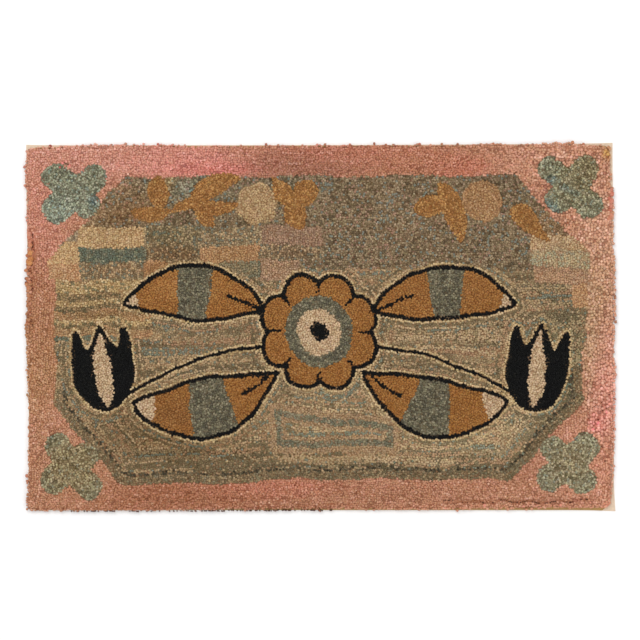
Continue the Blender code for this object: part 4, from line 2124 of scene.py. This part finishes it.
@dataclass(frozen=True)
class WoolFinish:
    """Hooked wool: each loop in its own colour, heathered, with a soft nap.

    Attributes:
        fibre_scale: how fine the nap is.
        heather_scale: how fine the mottling within a strand is.
        nap_height: the nap's height, in metres.
        deepest: the power that makes a strand's darkest fibres deeper in hue.
        palest: the power that makes its lightest fibres paler.
    """

    name: str = "hooked_wool"
    fibre_scale: float = 2600.0
    heather_scale: float = 640.0
    nap_height: float = 0.00022
    deepest: float = 1.72
    palest: float = 0.36

    def material(self) -> bpy.types.Material:
        """The material, made once and shared by every piece of pile.

        Returns:
            The material.
        """
        made = bpy.data.materials.get(self.name)
        if made:
            return made
        material, tools, shader = new_material(self.name)
        paint = tools.add("ShaderNodeVertexColor", layer_name="wool")
        where = tools.add("ShaderNodeTexCoord").outputs["Object"]
        depth = tools.ranged(tools.noise(where, self.heather_scale, 1.0), self.deepest, self.palest)
        heather = tools.add("ShaderNodeGamma")
        tools.feed(heather, Color=paint.outputs["Color"], Gamma=depth)
        fibre = tools.noise(where, self.fibre_scale, 1.0)
        colour = tools.tinted(heather.outputs["Color"], tools.ranged(fibre, 0.86, 1.14))
        nap = tools.bump(fibre, 0.6, self.nap_height)
        tools.feed(shader, Base_Color=colour, Normal=nap, Roughness=0.92, Specular_IOR_Level=0.1)
        tools.feed(shader, Sheen_Weight=0.06, Sheen_Roughness=0.5)
        return material


@dataclass(frozen=True)
class WovenFinish:
    """Plain-woven cloth: threads over and under, uneven in thickness and tone.

    Attributes:
        colour: its colour in daylight, from 0 to 255.
        thread: the way from thread to thread, in metres.
        relief: the height of a thread over the gaps, in metres.
        darkest: how dark the gaps between the threads are painted, as painted shade.
    """

    name: str
    colour: tuple[int, int, int]
    thread: float
    relief: float
    darkest: float

    def material(self) -> bpy.types.Material:
        """The material, with its weave in the cloth's own plane.

        Returns:
            The material.
        """
        material, tools, shader = new_material(self.name)
        where = tools.add("ShaderNodeTexCoord").outputs["Object"]
        apart = tools.add("ShaderNodeSeparateXYZ")
        tools.join(where, apart.inputs[0])
        sway = tools.ranged(tools.noise(where, 60.0, 2.0), -0.5, 0.5)
        turns = []
        for axis in ("X", "Y"):
            steps = tools.maths("MULTIPLY", apart.outputs[axis], math.pi / self.thread)
            turns.append(tools.maths("SINE", tools.maths("ADD", steps, sway)))
        weave = tools.ranged(tools.maths("MULTIPLY", *turns), 0.0, 1.0, lowest=-1.0)
        slubs = tools.noise(where, 240.0, 3.0)
        # Painted shade and light: darker in the weave's low places, lighter on its raised threads; slubs
        # vary it.
        shade = tools.ranged(tools.maths("MULTIPLY", weave, slubs), self.darkest, 1.35)
        base = tools.add("ShaderNodeRGB").outputs[0]
        base.default_value = (*daylight(np.array(self.colour, float)), 1.0)
        threads = tools.bump(weave, 1.02, self.relief)
        tools.feed(shader, Base_Color=tools.tinted(base, shade), Normal=threads)
        tools.feed(shader, Roughness=0.9, Specular_IOR_Level=0.25)
        return material


HESSIAN = WovenFinish("golden_hessian", (196, 156, 98), 0.0021, 0.0005, 0.55)
COTTON = WovenFinish("cream_cotton", (232, 208, 182), 0.0006, 0.00012, 0.75)


def new_sheet(name: str, across: int, up: int, size: float) -> bpy.types.Object:
    """Starts a sheet from a flat grid.

    Args:
        name: the piece's name.
        across: how many cells it has along X.
        up: how many it has along Y.
        size: how wide and deep the grid is.

    Returns:
        The piece.
    """
    deselect_all()
    bpy.ops.mesh.primitive_grid_add(x_subdivisions=across, y_subdivisions=up, size=size)
    piece = bpy.context.object
    piece.name = piece.data.name = name
    return piece


@dataclass
class Lining:
    """The cream cotton behind the rug, as it lies on the floor.

    Attributes:
        thickness: the cloth's thickness, in millimetres.
        cells: how many cells its sheet has along X.
        puckers: how far its edge waves in and out.
        corner_slip: how far its lower right corner has slipped out.
        drawn_in: how far the middles of its long edges lie in from its corners.
    """

    thickness: float = 0.9
    cells: int = 44
    puckers: float = 0.35
    corner_slip: float = 2.6
    drawn_in: float = 2.2

    def build(self) -> bpy.types.Object:
        """Models the cloth from a grid, pulled to the frame's corners.

        Returns:
            The piece.
        """
        points = node_points("lining")
        corners = {
            (sx, sy): points[np.argmax(points[:, 0] * sx + points[:, 1] * sy)]
            for sx in (-1, 1)
            for sy in (-1, 1)
        }
        piece = new_sheet("lining_cloth", self.cells, round(self.cells * DEPTH_SHARE), 2)
        for vert in piece.data.vertices:
            east, north = (vert.co.x + 1) / 2, (vert.co.y + 1) / 2
            south_edge = corners[-1, -1] * (1 - east) + corners[1, -1] * east
            north_edge = corners[-1, 1] * (1 - east) + corners[1, 1] * east
            place = south_edge * (1 - north) + north_edge * north
            wave = self.puckers * math.sin(place[0] / 17) * math.cos(place[1] / 23)
            wave += self.corner_slip * max(east - 0.94, 0) / 0.06 * max(0.08 - north, 0) / 0.08
            drawn = self.drawn_in * math.sin(math.pi * east) ** 0.4 * (1 - 2 * north)
            vert.co = Vector((place[0] + wave, place[1] - 0.2 * wave + drawn, 0)) * MM
        thicken(piece, self.thickness * MM, 1.0)
        soften_edges(piece, 0.3 * MM)
        piece.data.materials.append(COTTON.material())
        return piece


def apply_modifier(piece: bpy.types.Object, name: str) -> None:
    """Applies one of a piece's modifiers."""
    bpy.context.view_layer.objects.active = piece
    bpy.ops.object.modifier_apply(modifier=name)


def thicken(piece: bpy.types.Object, thickness: float, offset: float) -> None:
    """Gives a sheet its thickness: offset 1 upwards, 0 both ways.

    Args:
        piece: the sheet.
        thickness: its thickness, in metres.
        offset: which way it grows.
    """
    shell = piece.modifiers.new("Thickness", "SOLIDIFY")
    shell.thickness = thickness
    shell.offset = offset
    shell.use_even_offset = True
    apply_modifier(piece, shell.name)


def soften_edges(piece: bpy.types.Object, width: float) -> None:
    """Rounds a piece's edges and shades it smooth.

    Args:
        piece: the piece.
        width: how wide the rounding is, in metres.
    """
    bevel = piece.modifiers.new("Soft edge", "BEVEL")
    bevel.width = width
    bevel.segments = 2
    bevel.limit_method = "ANGLE"
    bevel.angle_limit = math.radians(50)
    apply_modifier(piece, bevel.name)
    piece.data.shade_smooth()


@dataclass
class Foundation:
    """The hessian that carries the loops, with its hem turned under all round.

    Attributes:
        thickness: the cloth's thickness, in millimetres.
        hem: how wide the turned hem is.
        bulge: how far the fold of the hem and half the cloth stand out past the sheet's rim.
        step_run: how far in the cloth comes down from over the hem.
        corner_run: how far from a corner its cells are small.
        corner_pull: how far the corners' points are drawn in.
        south_inset: how far its lower edge lies inside the frame's.
        pulls: which corners lie moved: their signs, the move, and how far in it reaches.
        columns: cells along X between the rims.
    """

    thickness: float = 1.1
    hem: float = 28.0
    bulge: float = 1.2
    step_run: float = 14.0
    corner_run: float = 8.0
    corner_pull: float = 3.0
    south_inset: float = 1.3
    pulls: tuple[tuple[int, int, float, float, float], ...] = (
        (1, -1, -7.0, -1.2, 44.0),
        (-1, 1, 3.0, -3.4, 240.0),
    )
    columns: int = 60

    def build(self) -> bpy.types.Object:
        """Models the cloth from a grid whose rim is drawn out, down and back under itself.

        Returns:
            The piece.
        """
        points = node_points("foundation")
        low, high = points.min(0), points.max(0)
        low[1] += self.south_inset
        half_x = (high[0] - low[0]) / 2 - self.bulge
        half_y = (high[1] - low[1]) / 2 - self.bulge
        middle_x, middle_y = (high[0] + low[0]) / 2, (high[1] + low[1]) / 2
        bottom, top = low[2] + self.thickness / 2, high[2] - self.thickness / 2
        rim = (0.0, self.corner_run, self.hem, self.hem + self.step_run)
        across = spaced(half_x, rim, self.columns)
        up = spaced(half_y, rim, round(self.columns * DEPTH_SHARE))
        piece = new_sheet("hessian_cloth", len(across) - 1, len(up) - 1, 1)
        for vert in piece.data.vertices:
            x = across[round((vert.co.x + 0.5) * (len(across) - 1))]
            y = up[round((vert.co.y + 0.5) * (len(up) - 1))]
            inset = min(half_x - abs(x), half_y - abs(y))
            share = min(max((inset - self.hem) / self.step_run, 0), 1)
            if inset < 0.1 and max(half_x - abs(x), half_y - abs(y)) < 0.1:
                x -= math.copysign(self.corner_pull, x)
                y -= math.copysign(self.corner_pull, y)
            vert.co = Vector((x, y, top + (bottom - top) * share)) * MM
        self.turn_hem(half_x, half_y, (top + bottom) / 2, bottom)
        thicken(piece, self.thickness * MM, 0.0)
        for sign_x, sign_y, pull_x, pull_y, reach in self.pulls:
            corner = Vector((sign_x * half_x, sign_y * half_y)) * MM
            for vert in piece.data.vertices:
                share = max(1 - (vert.co.xy - corner).length / (reach * MM), 0)
                vert.co.x += pull_x * share**2 * MM
                vert.co.y += pull_y * share**2 * MM
        for vert in piece.data.vertices:
            vert.co += Vector((middle_x, middle_y, 0)) * MM
        piece.data.shade_smooth()
        piece.data.set_sharp_from_angle(angle=math.radians(60))
        piece.data.materials.append(HESSIAN.material())
        return piece

    def turn_hem(self, half_x: float, half_y: float, middle: float, bottom: float) -> None:
        """Draws the sheet's rim out, down and back under itself, mitred at the corners.

        Args:
            half_x: half the sheet's width.
            half_y: half its depth.
            middle: the height of the fold's outermost line.
            bottom: the height of the hem.
        """
        bpy.ops.object.mode_set(mode="EDIT")
        bpy.ops.mesh.select_mode(type="EDGE")
        bpy.ops.mesh.select_all(action="DESELECT")
        bpy.ops.mesh.select_non_manifold()
        inner_x, inner_y = (half_x - self.hem) * MM, (half_y - self.hem) * MM
        out_x, out_y = 1 + self.bulge / 2 / half_x, 1 + self.bulge / 2 / half_y
        self.extrude_rim(lambda at: Vector((at.x * out_x, at.y * out_y, middle * MM)))
        self.extrude_rim(lambda at: Vector((at.x / out_x, at.y / out_y, bottom * MM)))
        self.extrude_rim(
            lambda at: Vector(
                (min(max(at.x, -inner_x), inner_x), min(max(at.y, -inner_y), inner_y), at.z)
            )
        )
        bpy.ops.mesh.remove_doubles(threshold=0.00001)
        finish_edit()

    def extrude_rim(self, moved: Callable[[Vector], Vector]) -> None:
        """Extrudes the selected rim and moves its new points.

        Args:
            moved: gives a new point's place from where it starts.
        """
        bpy.ops.mesh.extrude_edges_move(TRANSFORM_OT_translate={"value": (0, 0, 0)})
        sheet = bmesh.from_edit_mesh(bpy.context.object.data)
        for vert in sheet.verts:
            if vert.select:
                vert.co = moved(vert.co)
        bmesh.update_edit_mesh(bpy.context.object.data)


def spaced(half: float, rim: tuple[float, ...], cells: int) -> list[float]:
    """Places of a grid's lines: close at both rims, even between them.

    Args:
        half: half the grid's width.
        rim: the lines' insets at each rim.
        cells: how many cells lie between the rims.

    Returns:
        The lines' places, from the lowest.
    """
    inner = half - rim[-1]
    between = [-inner + 2 * inner * step / cells for step in range(cells + 1)]
    outer = [-half + inset for inset in rim[:-1]]
    return outer + between + [-place for place in reversed(outer)]


@dataclass
class PileBed:
    """The dense wool below the loops' tops, which closes the gaps between them.

    Attributes:
        drop: how far it lies below the tops, in millimetres.
        inset: how far inside the rim it ends.
        depth: how thick it is.
        cells: how many cells it has along X.
        shade: the painted shade, how much darker it is coloured than the loops above it.
    """

    drop: float = 2.0
    inset: float = 3.4
    depth: float = 2.8
    cells: int = 124
    shade: tuple[float, float, float] = (0.7, 0.6, 0.54)

    def build(
        self, pile: PileFrame, finish: WoolFinish, shop: WoolShop, drawing: Drawing
    ) -> bpy.types.Object:
        """Models the bed from a grid laid just under the pile's top.

        Args:
            pile: the frame's pile.
            finish: the wool.
            shop: what dyes it.
            drawing: the pattern.

        Returns:
            The piece.
        """
        piece = new_sheet("pile_bed", self.cells, round(self.cells * DEPTH_SHARE), 2)
        east, north = (mesh_points(piece.data)[:, :2].T + 1) / 2
        east_west, north_south = (Side.WEST, Side.EAST), (Side.SOUTH, Side.NORTH)
        rough_x = self.between(pile, east_west, 0, east, 0)
        rough_y = self.between(pile, north_south, 0, north, 0)
        x = self.between(pile, east_west, rough_y, east, self.inset)
        y = self.between(pile, north_south, rough_x, north, self.inset)
        places = np.stack([x, y], 1)
        heights, _ = pile.surface(places)
        flat = np.column_stack([places * MM, heights - self.drop * MM])
        piece.data.vertices.foreach_set("co", flat.ravel())
        thicken(piece, self.depth * MM, -1.0)
        self.paint(piece.data, shop, drawing)
        face_map(piece.data)
        piece.data.shade_smooth()
        piece.data.materials.append(finish.material())
        return piece

    @staticmethod
    def between(
        pile: PileFrame,
        sides: tuple[Side, Side],
        along: np.ndarray | float,
        share: np.ndarray,
        inset: float,
    ) -> np.ndarray:
        """Places at shares of the way between two sides of the rim.

        Args:
            pile: the frame's pile.
            sides: the two sides.
            along: where along them.
            share: the shares of the way from the first to the second.
            inset: how far inside the rim the way starts and ends.

        Returns:
            The places, in millimetres.
        """
        low, high = pile.rim_at(sides[0], along) + inset, pile.rim_at(sides[1], along) - inset
        return low + (high - low) * share

    def paint(self, mesh: bpy.types.Mesh, shop: WoolShop, drawing: Drawing) -> None:
        """Colours the bed as the wool above it, in shadow.

        Args:
            mesh: the bed's mesh.
            shop: what dyes it.
            drawing: the pattern.
        """
        places = mesh_points(mesh)[:, :2] / MM
        one_row = np.zeros(len(places), int)
        runs = np.arange(len(places)) * 9.0
        spots = Loops(places, places, drawing.zone_at(places), one_row, runs, one_row + 1.0)
        # Painted shade: the bed takes the colour of the loops above it, darkened.
        paint_wool(mesh, shop.dye(spots) * np.array(self.shade))


@dataclass
class Studio:
    """A pale floor, soft light and the camera straight above.

    Attributes:
        lens: the camera's lens, in millimetres.
        sensor: the width of its sensor.
        pile_top: the height of the pile, in metres.
    """

    lens: float = 110.0
    sensor: float = 36.0
    pile_top: float = 0.0095

    def build(self) -> None:
        """Sets the floor, the lights and the camera."""
        self.add_floor()
        self.add_lights()
        self.add_camera()
        bpy.context.scene.view_settings.view_transform = "Standard"

    def add_floor(self) -> None:
        """A wide pale floor at Z = 0."""
        deselect_all()
        bpy.ops.mesh.primitive_plane_add(size=30)
        floor = bpy.context.object
        floor.name = floor.data.name = "studio_floor"
        material, _, shader = new_material("pale_floor")
        shader.inputs["Base Color"].default_value = (0.95, 0.95, 0.95, 1.0)
        shader.inputs["Roughness"].default_value = 0.9
        floor.data.materials.append(material)

    def add_lights(self) -> None:
        """A large soft light over the rug's top left, and an even sky."""
        world = bpy.data.worlds.new("studio_sky")
        world.use_nodes = True
        world.node_tree.nodes["Background"].inputs["Color"].default_value = (1, 1, 1, 1)
        world.node_tree.nodes["Background"].inputs["Strength"].default_value = 0.8
        bpy.context.scene.world = world
        for name, place, size, power in (
            ("key_light", (-0.7, 1.3, 3.0), 1.8, 40.0),
            ("fill_light", (1.9, -1.2, 2.8), 2.4, 14.0),
        ):
            light = bpy.data.lights.new(name, "AREA")
            light.shape = "SQUARE"
            light.size = size
            light.energy = power
            lamp = bpy.data.objects.new(name, light)
            lamp.location = place
            lamp.rotation_euler = (-Vector(place)).to_track_quat("-Z", "Y").to_euler()
            bpy.context.scene.collection.objects.link(lamp)

    def add_camera(self) -> None:
        """The camera looks straight down, with the rug where the photograph has it."""
        view = PHOTO_SIDE_PX * PHOTO_MM_PER_PX * MM
        away = view * self.lens / self.sensor
        off_x = (PHOTO_SIDE_PX / 2 - RUG_CENTRE_PX[0]) * PHOTO_MM_PER_PX * MM
        off_y = (RUG_CENTRE_PX[1] - PHOTO_SIDE_PX / 2) * PHOTO_MM_PER_PX * MM
        data = bpy.data.cameras.new("photo_camera")
        data.lens = self.lens
        data.sensor_width = self.sensor
        camera = bpy.data.objects.new("photo_camera", data)
        camera.location = (off_x, off_y, away + self.pile_top)
        bpy.context.scene.collection.objects.link(camera)
        bpy.context.scene.camera = camera


class Rope(NamedTuple):
    """A stretch of one side where the rim's loops are fat: its middle, its reach and how much."""

    side: int
    middle: float
    reach: float
    extra: float


ROPES = (Rope(-1, 76, 72, 0.55), Rope(1, 60, 190, 0.3))


@dataclass
class PileWork:
    """All the loops of the rug, hooked, dyed and built piece by piece.

    Attributes:
        drawing: the pattern.
        pile: the frame's pile.
        random: the source of all unevenness.
        finish: the wool.
        rim_pitch: the way between two of the rim's loops.
        rim_insets: how far in its two rows stand.
    """

    drawing: Drawing = field(default_factory=Drawing)
    pile: PileFrame = field(default_factory=PileFrame)
    random: np.random.Generator = field(default_factory=lambda: np.random.default_rng(SEED))
    finish: WoolFinish = WoolFinish()
    rim_pitch: float = 3.7
    rim_insets: Pair = (0.0, 3.9)

    def rim_loops(self) -> tuple[Loops, Loops]:
        """Walks the rim twice: the outermost loops, and those just inside them.

        Returns:
            The outer and the inner loops.
        """
        hooked = []
        for inset in self.rim_insets:
            ring = self.pile.ring(lambda points, inset=inset: inset + self.bare_edge(points))
            places, ways, run = ring.stations(0.5, 1.0)
            x, y = places.T
            size = 0.94 + 0.4 * self.random.random(len(places)) ** 2 + sum(
                rope.extra * np.exp(-(((y - rope.middle) / rope.reach) ** 4)) * (x * rope.side > 480)
                for rope in ROPES
            )
            kept, last = [], -10.0
            for index in range(len(places)):
                if run[index] - last >= self.rim_pitch * size[index]:
                    kept.append(index)
                    last = run[index]
            places, ways, run, size = places[kept], ways[kept], run[kept], size[kept]
            count = len(kept)
            outwards = np.stack([ways[:, 1], -ways[:, 0]], 1)
            poke = self.random.normal(0, 0.5, count) - (size - 1) * (1.2 if hooked else 0.4)
            if not hooked:
                poke += (self.random.random(count) < 0.09) * self.random.uniform(0.8, 2.4, count)
            places = places + outwards * poke[:, None] + self.random.normal(0, 0.4, places.shape)
            rows = np.full(count, len(hooked))
            hooked.append(Loops(places, ways, np.full(count, Zone.BORDER), rows, run, size))
        return hooked[0], hooked[1]

    def bare_edge(self, points: np.ndarray) -> np.ndarray:
        """How far inside the rim the outermost loops stand: less where they hide the cloths.

        Args:
            points: places on the rim, one a row.

        Returns:
            An inset for each, in millimetres.
        """
        x, y = points.T
        south = (y < -280) & (np.abs(x) < 495)
        strip = south & (np.abs(x - 385) < 108)
        north = (y > 280) & (np.abs(x) < 448)
        east = (x > 480) & (y < 244)
        return np.select([strip, south, north, east], [0.6, 2.4, 0.9, -1.0], 1.3)

    def build(self) -> list[bpy.types.Object]:
        """Hooks the whole pile and builds its pieces.

        Returns:
            The pieces.
        """
        hooking = Hooking(self.drawing, self.pile, self.random)
        rims = self.rim_loops()
        for rim in rims:
            for x, y in rim.places.tolist():
                hooking.take(x, y)
        hooking.hook_shade_lines()
        hooking.hook_figures()
        hooking.hook_field_edge()
        hooking.hook_bars()
        hooking.hook_border()
        hooking.hook_ground()
        hooking.fill_gaps()
        loops = hooking.loops()
        shop = WoolShop(self.random)
        work = LoopWork(self.pile, self.random, self.finish)
        form, rim_form = model_pile_loop(), model_rim_loop()
        colours = shop.dye(loops)
        pieces = []
        for name, mask in self.shares(loops).items():
            pieces.append(work.build(name, form, loops.chosen(mask), colours[mask], PILE_SIZE))
        for name, rim in zip(("outer_rim_loops", "inner_rim_loops"), rims):
            pieces.append(work.build(name, rim_form, rim, shop.dye(rim), RIM_SIZE))
        pieces.append(self.tufts(work, rim_form))
        pieces.append(PileBed().build(self.pile, self.finish, shop, self.drawing))
        return pieces

    def tufts(self, work: LoopWork, form: LoopForm) -> bpy.types.Object:
        """Builds the fat and stray loops that stand out.

        Args:
            work: what builds loops.
            form: the shape of one loop.

        Returns:
            The piece.
        """
        table = np.array(TUFTS, float)
        turns = np.radians(table[:, 3])
        ways = np.stack([np.cos(turns), np.sin(turns)], 1)
        count = len(table)
        zones = np.full(count, Zone.BORDER)
        loops = Loops(table[:, :2], ways, zones, zones, np.arange(count), table[:, 2])
        colours = daylight(table[:, 4:]) * np.array(WoolShop(self.random).brightness)
        return work.build("stray_tufts", form, loops, colours, TUFT_SIZE)

    def shares(self, loops: Loops) -> dict[str, np.ndarray]:
        """Splits the loops into pieces by what they are hooked as.

        Args:
            loops: the field's and the border's loops.

        Returns:
            A mask of the loops for each piece's name.
        """
        zone, x, y = loops.zones, loops.places[:, 0], loops.places[:, 1]
        border = (zone == Zone.BORDER) | (zone == Zone.CREASE)
        leaf = zone == Zone.CORNER_LEAF
        lay = (*GROUNDS, Zone.EDGE, Zone.EDGE_DARK, *BAR_ZONES)
        ground = np.isin(zone, lay)
        return {
            "border_loops_left": border & (x < 0),
            "border_loops_right": border & (x >= 0),
            "corner_leaf_loops": leaf,
            "ground_loops_upper": ground & (y >= 20),
            "ground_loops_lower": ground & (y < 20),
            "figure_loops": ~(border | leaf | ground),
        }


def declare(
    pieces: list[bpy.types.Object], lining: bpy.types.Object, hessian: bpy.types.Object
) -> None:
    """Hangs each piece on the root body, and hides the frame's pile, lining and foundation solids.

    Args:
        pieces: the pieces of pile.
        lining: the cotton cloth.
        hessian: the hessian cloth.
    """
    for piece in pieces:
        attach(piece, "root")
        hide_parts("pile")
    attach(lining, "root")
    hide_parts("lining")
    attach(hessian, "root")
    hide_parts("foundation")


def main() -> None:
    """Builds the rug from the floor up, then the studio round it."""
    logging.basicConfig(level=logging.INFO, format="%(message)s")
    Studio().build()
    lining = Lining().build()
    LOG.info("lining: %d faces", len(lining.data.polygons))
    hessian = Foundation().build()
    LOG.info("hessian: %d faces", len(hessian.data.polygons))
    pieces = PileWork().build()
    declare(pieces, lining, hessian)


if __name__ == "__main__":
    main()
